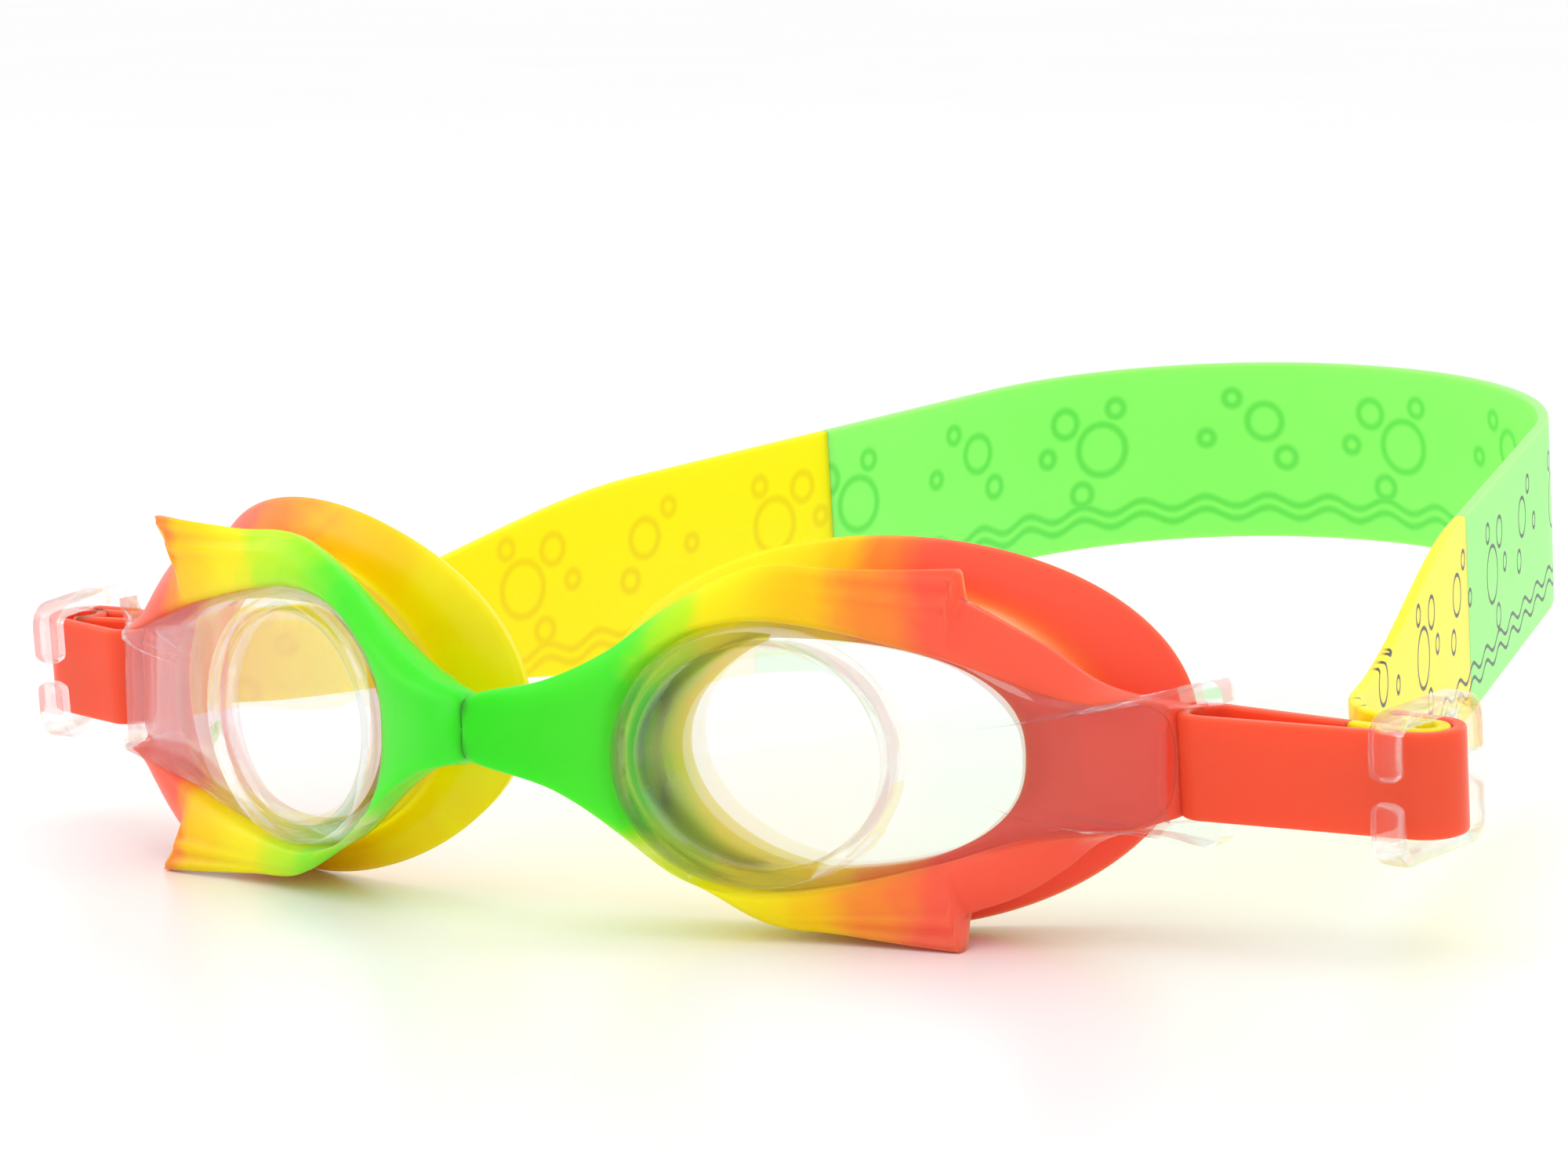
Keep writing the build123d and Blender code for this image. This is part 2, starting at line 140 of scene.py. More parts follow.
@dataclass(frozen=True)
class MouldedSilicone:
    """Liquid silicone rubber from a polished mould: soft satin skin, light glows through thin walls."""

    name: str
    scatter_mm: float = 4.0
    roughness: float = 0.34
    subsurface: float = 0.7
    bump_mm: float = 0.03

    def base(self) -> tuple[bpy.types.Material, bpy.types.NodeTree, bpy.types.Node]:
        """Make the silicone's shader without its colour.

        Returns:
            The material, its node tree and the Principled node.
        """
        material, tree, shader = new_material(self.name)
        shader.inputs["Roughness"].default_value = self.roughness
        shader.inputs["IOR"].default_value = 1.42
        shader.inputs["Specular IOR Level"].default_value = 0.32
        shader.inputs["Subsurface Weight"].default_value = self.subsurface
        shader.inputs["Subsurface Radius"].default_value = (1.0, 0.8, 0.45)
        shader.inputs["Subsurface Scale"].default_value = self.scatter_mm * MM
        where = add_node(tree, "TexCoord").outputs["Object"]
        # 0.5 mm mould texture, drawn coarser than the real 0.05 mm so that it shows at all
        grain = add_node(tree, "TexNoise", {"[Scale]": 1600.0, "[Detail]": 2.0}, {"Vector": where})
        bump = add_node(tree, "Bump", {"[Strength]": 0.12, "[Distance]": self.bump_mm * MM},
                        {"Height": grain.outputs[0]})
        tree.links.new(bump.outputs[0], shader.inputs["Normal"])
        return material, tree, shader

    def flowing(self, stops: Sequence[tuple[float, str]], span: float, wander: float) -> bpy.types.Material:
        """Silicone whose colour shots run into each other along the mesh's own flow value.

        Args:
            stops: flow in millimetres and the sRGB hex colour there.
            span: flow at the end of the ramp.
            wander: how far noise shifts a boundary, in millimetres.

        Returns:
            The material.
        """
        material, tree, shader = self.base()
        where = add_node(tree, "TexCoord").outputs["Object"]
        # boundaries wander over some 12 mm, where the shots met in the mould
        noise = add_node(tree, "TexNoise", {"[Scale]": 85.0, "[Detail]": 3.0, "[Distortion]": 0.8},
                         {"Vector": where})
        flow = add_node(tree, "Attribute", {"attribute_name": "flow"}).outputs["Fac"]
        shift = add_node(tree, "Math", {"operation": "MULTIPLY_ADD", "[1]": 2 * wander, "[2]": -wander},
                         {0: noise.outputs[0]})
        moved = add_node(tree, "Math", {"operation": "ADD"}, {0: flow, 1: shift.outputs[0]})
        share = add_node(tree, "Math", {"operation": "DIVIDE", "[1]": span}, {0: moved.outputs[0]})
        ramp = add_node(tree, "ValToRGB", links={"Fac": share.outputs[0]})
        ramp.color_ramp.interpolation = "EASE"
        set_ramp(ramp, [(at / span, colour) for at, colour in stops])
        tree.links.new(ramp.outputs[0], shader.inputs["Base Color"])
        return material

    def printed(self, colour: str, ink: str | None, through: str | None) -> bpy.types.Material:
        """One-colour silicone, on the strap with bubbles and waves printed on its outer face.

        Args:
            colour: sRGB hex of the silicone.
            ink: sRGB hex of the print, or None for none.
            through: sRGB hex of the print as it shines through to the inner face.

        Returns:
            The material.
        """
        material, tree, shader = self.base()
        where = add_node(tree, "TexCoord").outputs["Object"]
        cloud = add_node(tree, "TexNoise", {"[Scale]": 60.0, "[Detail]": 2.0}, {"Vector": where})
        tint = add_node(tree, "MixRGB", {"blend_type": "OVERLAY", "[Fac]": 0.06, "[Color1]": linear(colour)},
                        {"Color2": cloud.outputs[0]})
        result = tint.outputs[0]
        if ink is not None:
            uv = add_node(tree, "UVMap", {"uv_map": "run"}).outputs[0]
            parts = add_node(tree, "SeparateXYZ", links={0: uv})
            along, up = parts.outputs[0], parts.outputs[1]
            outer = add_node(tree, "Attribute", {"attribute_name": "outer"}).outputs["Fac"]
            sharp = BubblePrint().coverage(tree, along, up, 0.0)
            soft = BubblePrint().coverage(tree, along, up, 0.5)
            on_top = add_node(tree, "Math", {"operation": "MULTIPLY"}, {0: sharp, 1: outer})
            inner = add_node(tree, "Math", {"operation": "SUBTRACT", "[0]": 1.0}, {1: outer})
            below = add_node(tree, "Math", {"operation": "MULTIPLY"}, {0: soft, 1: inner.outputs[0]})
            faint = add_node(tree, "Math", {"operation": "MULTIPLY", "[1]": 0.5}, {0: below.outputs[0]})
            shade = add_node(tree, "MixRGB", {"[Color2]": linear(through or colour)},
                             {"Fac": faint.outputs[0], "Color1": result})
            result = add_node(tree, "MixRGB", {"[Color2]": linear(ink)},
                              {"Fac": on_top.outputs[0], "Color1": shade.outputs[0]}).outputs[0]
        tree.links.new(result, shader.inputs["Base Color"])
        return material


@dataclass(frozen=True)
class BubblePrint:
    """Screen-printed line drawing: rising bubbles over a wave, repeated along the strap."""

    repeat: float = 46.0
    line: float = 0.55
    # how far the ink's edge fades outside and inside the line
    fade: tuple[float, float] = (0.06, 0.1)
    rings: tuple[tuple[float, float, float], ...] = (
        (8.0, 1.5, 3.6), (13.6, 5.8, 1.9), (5.6, 7.2, 1.2), (16.8, 1.2, 1.1), (11.4, -4.6, 1.5),
        (30.0, 4.2, 2.5), (34.6, 7.6, 1.1), (27.0, -1.0, 1.4), (38.5, 2.0, 1.0),
    )
    wave_height: float = 1.5
    wave_length: float = 9.2
    wave_levels: tuple[float, ...] = (-7.2, -9.0)

    def coverage(
        self, tree: bpy.types.NodeTree, along: bpy.types.NodeSocket, up: bpy.types.NodeSocket, blur: float
    ) -> bpy.types.NodeSocket:
        """Build the ink's coverage from the strap's run and height.

        Args:
            tree: the node tree.
            along: socket with the distance along the strap, in millimetres.
            up: socket with the height from the strap's middle, in millimetres.
            blur: how far the edge of a line is spread, in millimetres.

        Returns:
            A socket that is 1 on ink and 0 off it.
        """
        place = add_node(tree, "Math", {"operation": "MODULO", "[1]": self.repeat}, {0: along}).outputs[0]
        point = add_node(tree, "CombineXYZ", links={0: place, 1: up}).outputs[0]
        gaps: list[bpy.types.NodeSocket] = []
        for x, y, radius in self.rings:
            away = add_node(tree, "VectorMath", {"operation": "DISTANCE", "[1]": (x, y, 0.0)}, {0: point})
            gap = add_node(tree, "Math", {"operation": "SUBTRACT", "[1]": radius}, {0: away.outputs["Value"]})
            gaps.append(gap.outputs[0])
        per_mm = math.tau / self.wave_length
        turn = add_node(tree, "Math", {"operation": "MULTIPLY", "[1]": per_mm}, {0: along})
        swing = add_node(tree, "Math", {"operation": "SINE"}, {0: turn.outputs[0]}).outputs[0]
        for level in self.wave_levels:
            settings = {"operation": "MULTIPLY_ADD", "[1]": self.wave_height / 2, "[2]": level}
            crest = add_node(tree, "Math", settings, {0: swing})
            gap = add_node(tree, "Math", {"operation": "SUBTRACT"}, {0: up, 1: crest.outputs[0]})
            gaps.append(gap.outputs[0])
        sizes = [add_node(tree, "Math", {"operation": "ABSOLUTE"}, {0: gap}).outputs[0] for gap in gaps]
        nearest = sizes[0]
        for size in sizes[1:]:
            nearest = add_node(tree, "Math", {"operation": "MINIMUM"}, {0: nearest, 1: size}).outputs[0]
        half = self.line / 2
        edge = {"[From Min]": half + self.fade[0] + blur, "[From Max]": half - self.fade[1],
                "[To Min]": 0.0, "[To Max]": 1.0}
        return add_node(tree, "MapRange", edge, {"Value": nearest}).outputs[0]


@dataclass(frozen=True)
class ClearPolycarbonate:
    """Injection-moulded clear polycarbonate: glossy, colourless, with faint flow waves in the skin."""

    name: str
    tint: str = "ECE8F2"
    roughness: float = 0.03
    wave_bump: float = 0.02
    body: float = 0.38

    def make(self) -> bpy.types.Material:
        """Make the material."""
        material, tree, shader = new_material(self.name)
        shader.inputs["Base Color"].default_value = linear(self.tint)
        shader.inputs["Roughness"].default_value = self.roughness
        shader.inputs["IOR"].default_value = 1.5
        shader.inputs["Transmission Weight"].default_value = 1.0
        shader.inputs["Alpha"].default_value = self.body
        shader.inputs["Coat Weight"].default_value = 0.2
        shader.inputs["Coat Roughness"].default_value = 0.03
        where = add_node(tree, "TexCoord").outputs["Object"]
        # flow waves some 8 mm apart, left where the melt met behind the window
        waves = add_node(tree, "TexNoise", {"[Scale]": 120.0, "[Detail]": 1.0}, {"Vector": where})
        bump = add_node(tree, "Bump", {"[Strength]": self.wave_bump, "[Distance]": 0.0004},
                        {"Height": waves.outputs[0]})
        tree.links.new(bump.outputs[0], shader.inputs["Normal"])
        return material


# ---------------------------------------------------------------- mesh helpers
def object_from(name: str, mesh_data: bmesh.types.BMesh) -> bpy.types.Object:
    """Write a bmesh to a new smooth-shaded object.

    Args:
        name: the object's name.
        mesh_data: the bmesh; it is freed.

    Returns:
        The object.
    """
    bmesh.ops.recalc_face_normals(mesh_data, faces=mesh_data.faces)
    mesh = bpy.data.meshes.new(name)
    mesh_data.to_mesh(mesh)
    mesh_data.free()
    for polygon in mesh.polygons:
        polygon.use_smooth = True
    piece = bpy.data.objects.new(name, mesh)
    bpy.context.scene.collection.objects.link(piece)
    return piece


def add_grid(
    mesh_data: bmesh.types.BMesh, points: np.ndarray, close_rows: bool, close_columns: bool
) -> list[list[bmesh.types.BMVert]]:
    """Add a grid of quads to a bmesh.

    Args:
        mesh_data: the bmesh.
        points: rows x columns x 3, in millimetres.
        close_rows: join the last row to the first.
        close_columns: join the last column to the first.

    Returns:
        The grid's vertices.
    """
    rows, columns = points.shape[:2]
    verts = [[mesh_data.verts.new(Vector(points[i, j]) * MM) for j in range(columns)] for i in range(rows)]
    for i in range(rows if close_rows else rows - 1):
        for j in range(columns if close_columns else columns - 1):
            k, m = (i + 1) % rows, (j + 1) % columns
            mesh_data.faces.new((verts[i][j], verts[i][m], verts[k][m], verts[k][j]))
    return verts


def apply_modifiers(piece: bpy.types.Object) -> None:
    """Turn an object's modifiers into its mesh."""
    bpy.context.view_layer.update()
    done = bpy.data.meshes.new_from_object(piece.evaluated_get(bpy.context.evaluated_depsgraph_get()))
    piece.modifiers.clear()
    piece.data = done


def bevelled(piece: bpy.types.Object, width: float, angle: float) -> None:
    """Round an object's sharp edges.

    Args:
        piece: the object.
        width: bevel width in millimetres.
        angle: edges sharper than this many degrees are rounded.
    """
    bevel = piece.modifiers.new("rounded_edges", "BEVEL")
    bevel.width = width * MM
    bevel.segments = 2
    bevel.limit_method = "ANGLE"
    bevel.angle_limit = math.radians(angle)
    bevel.harden_normals = True


def through(
    anchors: Sequence[Sequence[float]], corners: set[int], steps: Sequence[int], lap: Sequence[float]
) -> np.ndarray:
    """Run a closed smooth curve through anchors, with sharp turns at the corners.

    Args:
        anchors: the values at each anchor; every column is interpolated alike.
        corners: anchors where the curve turns sharply.
        steps: samples in the stretch after each anchor.
        lap: what one lap adds to each column, such as a full turn to an angle.

    Returns:
        The samples, one row each.
    """
    values = np.array(anchors, float)
    count = len(values)
    values = np.vstack([values[-1:] - lap, values, values[:2] + lap])
    rows = []
    for i in range(count):
        before, a, b, after = values[i:i + 4]
        start = b - a if i in corners else (b - before) / 2
        end = b - a if (i + 1) % count in corners else (after - a) / 2
        for k in range(steps[i]):
            t = k / steps[i]
            rows.append(a * (2 * t**3 - 3 * t**2 + 1) + b * (3 * t**2 - 2 * t**3)
                        + start * (t**3 - 2 * t**2 + t) + end * (t**3 - t**2))
    return np.array(rows)


def smooth(share: np.ndarray) -> np.ndarray:
    """Ease a share from 0 to 1 and hold it outside."""
    share = np.clip(share, 0, 1)
    return share * share * (3 - 2 * share)


def mix(a: np.ndarray, b: np.ndarray, share: float) -> np.ndarray:
    """The point a share of the way from a to b."""
    return a + (b - a) * share


# ---------------------------------------------------------------- plan line of the lens side
@dataclass(frozen=True)
class PlanLine:
    """Line in plan along a lens's front: straight over the window, then round into the arm."""

    window: tuple[float, float] = (31.7, 11.4)
    yaw: float = 18.7
    half: float = 16.5
    arm_end: tuple[float, float] = (79.0, 37.8)
    arm_slope: float = 52.0
    reach: float = 12.0

    def samples(self) -> tuple[np.ndarray, np.ndarray, np.ndarray]:
        """Sample the line.

        Returns:
            The X, the Y and the slope in radians of dense samples, in order of X.
        """
        across = np.array([math.cos(math.radians(self.yaw)), math.sin(math.radians(self.yaw))])
        way = np.array([math.cos(math.radians(self.arm_slope)), math.sin(math.radians(self.arm_slope))])
        bend = np.array(self.window) + across * self.half
        end = np.array(self.arm_end)
        chord = float(np.linalg.norm(end - bend))
        start = bend - across * 80
        t = np.linspace(0, 1, 200)[:, None]
        curve = (bend * (2 * t**3 - 3 * t**2 + 1) + end * (3 * t**2 - 2 * t**3)
                 + across * chord * (t**3 - 2 * t**2 + t) + way * chord * (t**3 - t**2))
        line = np.vstack([start + (bend - start) * np.linspace(0, 1, 80)[:-1, None], curve,
                          end + way * np.linspace(0.1, self.reach, 20)[:, None]])
        delta = np.gradient(line, axis=0)
        return line[:, 0], line[:, 1], np.arctan2(delta[:, 1], delta[:, 0])

    def place(self, x: np.ndarray, z: np.ndarray, depth: np.ndarray) -> np.ndarray:
        """Put points at a depth behind the line, at given places in the front view.

        Args:
            x: front-view X of each point.
            z: Z of each point.
            depth: distance behind the lens's front.

        Returns:
            The points in the row frame.
        """
        xs, ys, slopes = self.samples()
        x, z, depth = np.broadcast_arrays(*(np.asarray(value, float) for value in (x, z, depth)))
        foot = x.copy()
        for _ in range(6):
            foot = x + np.sin(np.interp(foot, xs, slopes)) * depth
        y = np.interp(foot, xs, ys) + np.cos(np.interp(foot, xs, slopes)) * depth
        return np.stack([x, y, z], axis=-1)


# ---------------------------------------------------------------- silicone frame
@dataclass
class SiliconeFrame:
    """Nose bridge, bezels with fins and face seals, one moulding."""

    line: PlanLine = field(default_factory=PlanLine)
    eye_z: float = 20.9
    skin_back: float = 4.8
    bezel_back: float = 8.2
    seal_yaw: float = 21.5
    neck: tuple[float, float, float, float, float] = (38.6, 20.0, 20.9, 25.4, 17.0)
    waist: tuple[float, float, float, float, float] = (38.6, 29.6, 20.9, 24.4, 16.6)
    rim: tuple[float, float, float, float, float] = (37.2, 34.7, 22.3, 34.7, 22.3)
    neck_yaw: float = 24.0
    wall: float = 2.2
    lip: float = 1.6
    skirt_bow: float = 1.17
    waist_saddle: float = 0.35
    crown: float = 1.5
    fin_crease: float = 0.35
    side_swell: float = 0.35
    # silicone from this line in plan backwards takes the seals' colours: Y at the bridge, and the rise with X
    seal_line: tuple[float, float] = (5.0, 0.34)
    seal_blend: float = 9.0
    # where each colour shot has run to: X from the bridge, then the value on the colour ramp there
    front_flow: dict[Side, tuple[tuple[float, ...], tuple[float, ...]]] = field(default_factory=lambda: {
        Side.RIGHT: ((0, 80), (0, 80)), Side.LEFT: ((0, 20, 38, 50, 55, 80), (0, 16, 24, 36, 48, 80))})
    seal_flow: dict[Side, tuple[tuple[float, ...], tuple[float, ...]]] = field(default_factory=lambda: {
        Side.RIGHT: ((0, 30, 44, 80), (28, 30, 50, 80)), Side.LEFT: ((0, 20, 45, 80), (28, 34, 44, 60))})
    saddle: tuple[float, float] = (6.0, 8.0)
    opening: tuple[float, float, float] = (13.9, 26.6, 13.2)
    # below 1 the outboard end of the eye opening is blunter than an ellipse
    blunt: float = 0.8
    colour_run: float = 80.0
    colour_wander: float = 4.5
    colours: tuple[tuple[float, str], ...] = (
        (0, "30E012"), (16, "4CE42A"), (23, "BCEC18"), (28, "FFE600"), (38, "FFC800"), (44, "FF9030"),
        (50, "FF6248"), (80, "FF5A40"))
    seam_reach: float = 5.0
    seam_passes: int = 14
    # each anchor: outer edge X, Z; lens edge X, Z; angle round the eye; depth of the outer edge's front;
    # depth of its back; fin share; how far the back edge lies inside the front edge
    anchors: tuple[tuple[float, ...], ...] = (
        (0.0, 23.7, 15.5, 21.6, 180, -0.6, 4.6, 0, 0),
        (0.0, 27.4, 15.7, 24.6, 170, 0.6, 4.0, 0, 0),
        (7.4, 28.9, 16.8, 28.0, 157, 1.7, 5.4, 0, 0.3),
        (14.7, 32.4, 19.2, 31.5, 142, 2.3, 6.2, 0, 0.8),
        (22.6, 38.4, 24.4, 35.1, 120, 2.6, 6.6, 0, 1.6),
        (31.6, 42.6, 31.7, 36.4, 98, 2.2, 6.6, 0.0, 2.0),
        (41.3, 42.5, 40.6, 35.2, 76, 1.2, 6.2, 0.45, 2.2),
        (54.6, 43.0, 50.6, 32.7, 55, -1.9, 0.6, 1.0, 0.8),
        (53.6, 39.6, 51.8, 32.4, 51, -0.4, 3.4, 0.2, 1.2),
        (53.5, 38.9, 52.4, 32.2, 48, 2.2, 6.4, 0.0, 1.6),
        (57.2, 36.4, 55.5, 31.0, 39, 3.0, 6.8, 0, 1.8),
        (61.4, 33.4, 59.5, 29.2, 29, 3.5, 7.2, 0, 2.0),
        (65.4, 29.6, 64.2, 27.6, 20, 4.2, 7.6, 0, 1.8),
        (69.6, 27.0, 68.6, 26.9, 13, 4.9, 8.0, 0, 1.0),
        (72.8, 25.2, 71.0, 24.6, 7, 5.0, 7.8, 0, 0.4),
        (73.6, 19.8, 71.6, 19.8, 0, 5.0, 7.8, 0, 0),
        (72.8, 14.4, 71.0, 15.0, -7, 5.0, 7.8, 0, 0.4),
        (69.2, 12.6, 68.4, 12.6, -13, 4.9, 8.0, 0, 1.0),
        (65.7, 11.4, 64.2, 12.6, -20, 4.2, 7.6, 0, 1.8),
        (62.6, 8.4, 59.5, 12.1, -29, 3.5, 7.2, 0, 2.0),
        (58.6, 5.6, 55.5, 10.9, -39, 3.0, 6.8, 0, 1.8),
        (53.7, 3.7, 52.4, 9.8, -48, 2.2, 6.4, 0.0, 1.4),
        (53.7, 3.1, 51.8, 9.6, -51, -0.4, 3.4, 0.2, 1.0),
        (54.7, 0.2, 50.6, 9.2, -55, -1.9, 0.6, 1.0, 0.4),
        (40.9, 1.2, 40.6, 6.6, -76, 1.2, 6.2, 0.45, 1.4),
        (31.6, 2.3, 31.7, 5.4, -98, 2.2, 6.6, 0.0, 1.4),
        (21.9, 8.2, 24.4, 6.7, -120, 2.6, 6.6, 0, 1.2),
        (14.4, 14.2, 19.2, 10.4, -142, 2.3, 6.2, 0, 0.8),
        (7.2, 18.0, 16.8, 14.2, -157, 1.7, 5.4, 0, 0.3),
        (0.0, 20.0, 15.6, 18.2, -172, 0.6, 4.0, 0, 0),
    )
    corners: frozenset[int] = frozenset({7, 8, 9, 13, 17, 21, 22, 23})
    steps: tuple[int, ...] = (
        5, 8, 8, 9, 9, 10, 16, 5, 2, 6, 6, 6, 5, 5, 5, 5, 5, 5, 6, 6, 6, 2, 5, 16, 10, 9, 9, 8, 8, 5)
    front_shares: tuple[float, ...] = (
        0.06, 0.14, 0.24, 0.34, 0.44, 0.53, 0.61, 0.68, 0.75, 0.81, 0.87, 0.92, 0.965)

    def ring(self, spec: tuple[float, float, float, float, float], angle: np.ndarray, inset: float,
             yaw: float, saddle: float = 0.0) -> np.ndarray:
        """Points of an oval round the eye.

        Args:
            spec: middle X, Y, Z and the half width and half height.
            angle: angle round the oval of each point, in radians.
            inset: how far inside the oval.
            yaw: how far the oval's plane faces outwards, in degrees.
            saddle: share of the rim's saddle, which brings its top and bottom forwards.

        Returns:
            The points in the row frame.
        """
        x, y, z, half_width, half_height = spec
        along = (half_width - inset) * np.cos(angle)
        turn = math.radians(yaw)
        forward = saddle * np.where(np.sin(angle) > 0, *self.saddle) * np.sin(angle) ** 2
        return np.stack([x + along * math.cos(turn) + forward * math.sin(turn),
                         y + along * math.sin(turn) - forward * math.cos(turn),
                         z + (half_height - inset) * np.sin(angle)], axis=-1)

    def section(self) -> np.ndarray:
        """Build the closed section round the right eye.

        Returns:
            The points, stations x section x 3.
        """
        rows = through(self.anchors, set(self.corners), self.steps, (0, 0, 0, 0, -360, 0, 0, 0, 0))
        cx, cz, bx, bz, degrees, front, back, fin, tuck = rows.T
        angle = np.radians(degrees)
        cosine, sine = np.cos(angle), np.sin(angle)
        line = self.line
        # the bezel's front dives under the clear skin where the arm leaves it
        ahead = 0.9 + (self.skin_back - 0.8) * np.clip((bx - 66.5) / 2.5, 0, 1)
        outboard = cosine > 0
        reach = np.where(outboard, self.opening[1], self.opening[0])
        power = np.where(outboard, self.blunt, 1.0)
        ax = line.window[0] + reach * np.sign(cosine) * np.abs(cosine) ** power
        az = self.eye_z + self.opening[2] * np.sign(sine) * np.abs(sine) ** power
        floor = self.skin_back + 0.12
        columns = [line.place(ax, az, floor), line.place(mix(ax, bx, 0.5), mix(az, bz, 0.5), floor),
                   line.place(bx, bz, floor), line.place(bx, bz, np.minimum(ahead + 0.7, floor))]
        span = np.hypot(cx - bx, cz - bz)
        crown = self.crown * np.clip((span - 2) / 8, 0.15, 1) * np.where(bx > 66, 0.3, 1)
        for share in self.front_shares:
            depth = mix(ahead, front, share**2.2) - crown * math.sin(math.pi * share) * 0.55
            if 0.42 < share < 0.95:
                depth = depth - fin * self.fin_crease * math.sin(share * math.tau * 3.5)
            if share < 0.1:
                depth = depth + 0.25
            columns.append(line.place(mix(bx, cx, share), mix(bz, cz, share), depth))
        out = np.stack([cx - bx, cz - bz]) / np.maximum(span, 1e-6)
        for share in (0.0, 0.2, 0.5, 0.8, 1.0):
            swell = self.side_swell * math.sin(math.pi * share) * np.where(cx < 0.01, 0, 1)
            move = swell - tuck * share
            columns.append(line.place(cx + move * out[0], cz + move * out[1], mix(front, back, share)))
        edge, neck_out = columns[-1], self.ring(self.neck, angle, 0.0, self.neck_yaw)
        columns += [mix(edge, neck_out, 0.35), mix(edge, neck_out, 0.7), neck_out]
        columns += self.seal(angle, neck_out)
        neck_in = self.ring(self.neck, angle, self.wall, self.neck_yaw)
        columns += [neck_in, line.place(ax, az, self.bezel_back)]
        return np.stack(columns, axis=1)

    def seal(self, angle: np.ndarray, neck: np.ndarray) -> list[np.ndarray]:
        """Columns of the seal: down the neck to the waist, out over the skirt, round its lip and back inside.

        Args:
            angle: angle round the eye of each station, in radians.
            neck: the neck's outside at each station.

        Returns:
            The section's columns.
        """
        yaw = math.radians(self.seal_yaw)
        back_way = np.array([-math.sin(yaw), math.cos(yaw), 0])
        waist_out, waist_in = (self.ring(self.waist, angle, inset, self.seal_yaw, self.waist_saddle)
                               for inset in (0.0, self.wall))
        rim_out, rim_in = (self.ring(self.rim, angle, inset, self.seal_yaw, 1.0)
                           for inset in (0.0, self.lip * 0.9))
        columns = [mix(neck, waist_out, 0.5), waist_out]
        for share in (0.18, 0.38, 0.6, 0.8, 0.93, 1.0):
            bow = self.skirt_bow * math.sin(math.pi * share)
            columns.append(mix(waist_out, rim_out, share) - back_way * bow)
        columns += [mix(rim_out, rim_in, 0.5) + back_way * 1.3, rim_in + back_way * 1.2]
        for share in (0.8, 0.6, 0.38, 0.18, 0.0):
            bow = self.skirt_bow * math.sin(math.pi * share)
            columns.append(mix(waist_in, rim_in, share) + back_way * (share - bow))
        return columns

    def colour_at(self, side: Side, x: float, y: float) -> float:
        """Value on the colour ramp at a place in plan.

        Args:
            side: which half it is in.
            x: distance from the mirror plane.
            y: distance behind the bridge's front.

        Returns:
            The value, in millimetres of flow.
        """
        behind = float(np.clip((y - self.seal_line[1] * x - self.seal_line[0]) / self.seal_blend, 0, 1))
        front, seal = np.interp(x, *self.front_flow[side]), np.interp(x, *self.seal_flow[side])
        return mix(front, seal, behind)

    def build(self) -> bpy.types.Object:
        """Build both halves and join them at the bridge.

        Returns:
            The frame's object, with its flow value for the colours.
        """
        points = self.section()
        shape = bmesh.new()
        flow = shape.verts.layers.float.new("flow")
        for side in Side:
            half = points.copy()
            half[..., 0] *= side.value
            verts = add_grid(shape, half, True, True)
            for place_row, row in zip(points, verts):
                for place, vert in zip(place_row, row):
                    vert[flow] = self.colour_at(side, abs(place[0]), place[1])
        inner = [f for f in shape.faces if all(abs(v.co.x) < 1e-7 for v in f.verts)]
        bmesh.ops.delete(shape, geom=inner, context="FACES_ONLY")
        bmesh.ops.remove_doubles(shape, verts=shape.verts, dist=1e-6)
        # the mould has no parting line across the bridge
        seam = [v for v in shape.verts if abs(v.co.x) < self.seam_reach * MM]
        for _ in range(self.seam_passes):
            bmesh.ops.smooth_vert(shape, verts=seam, factor=0.5,
                                  use_axis_x=False, use_axis_y=True, use_axis_z=True)
        piece = object_from("silicone_frame", shape)
        silicone = MouldedSilicone("silicone_green_yellow_coral")
        piece.data.materials.append(silicone.flowing(self.colours, self.colour_run, self.colour_wander))
        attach(piece, "frame")
        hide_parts("nose_bridge", "right_bezel", "left_bezel", "right_face_seal", "left_face_seal")
        return piece


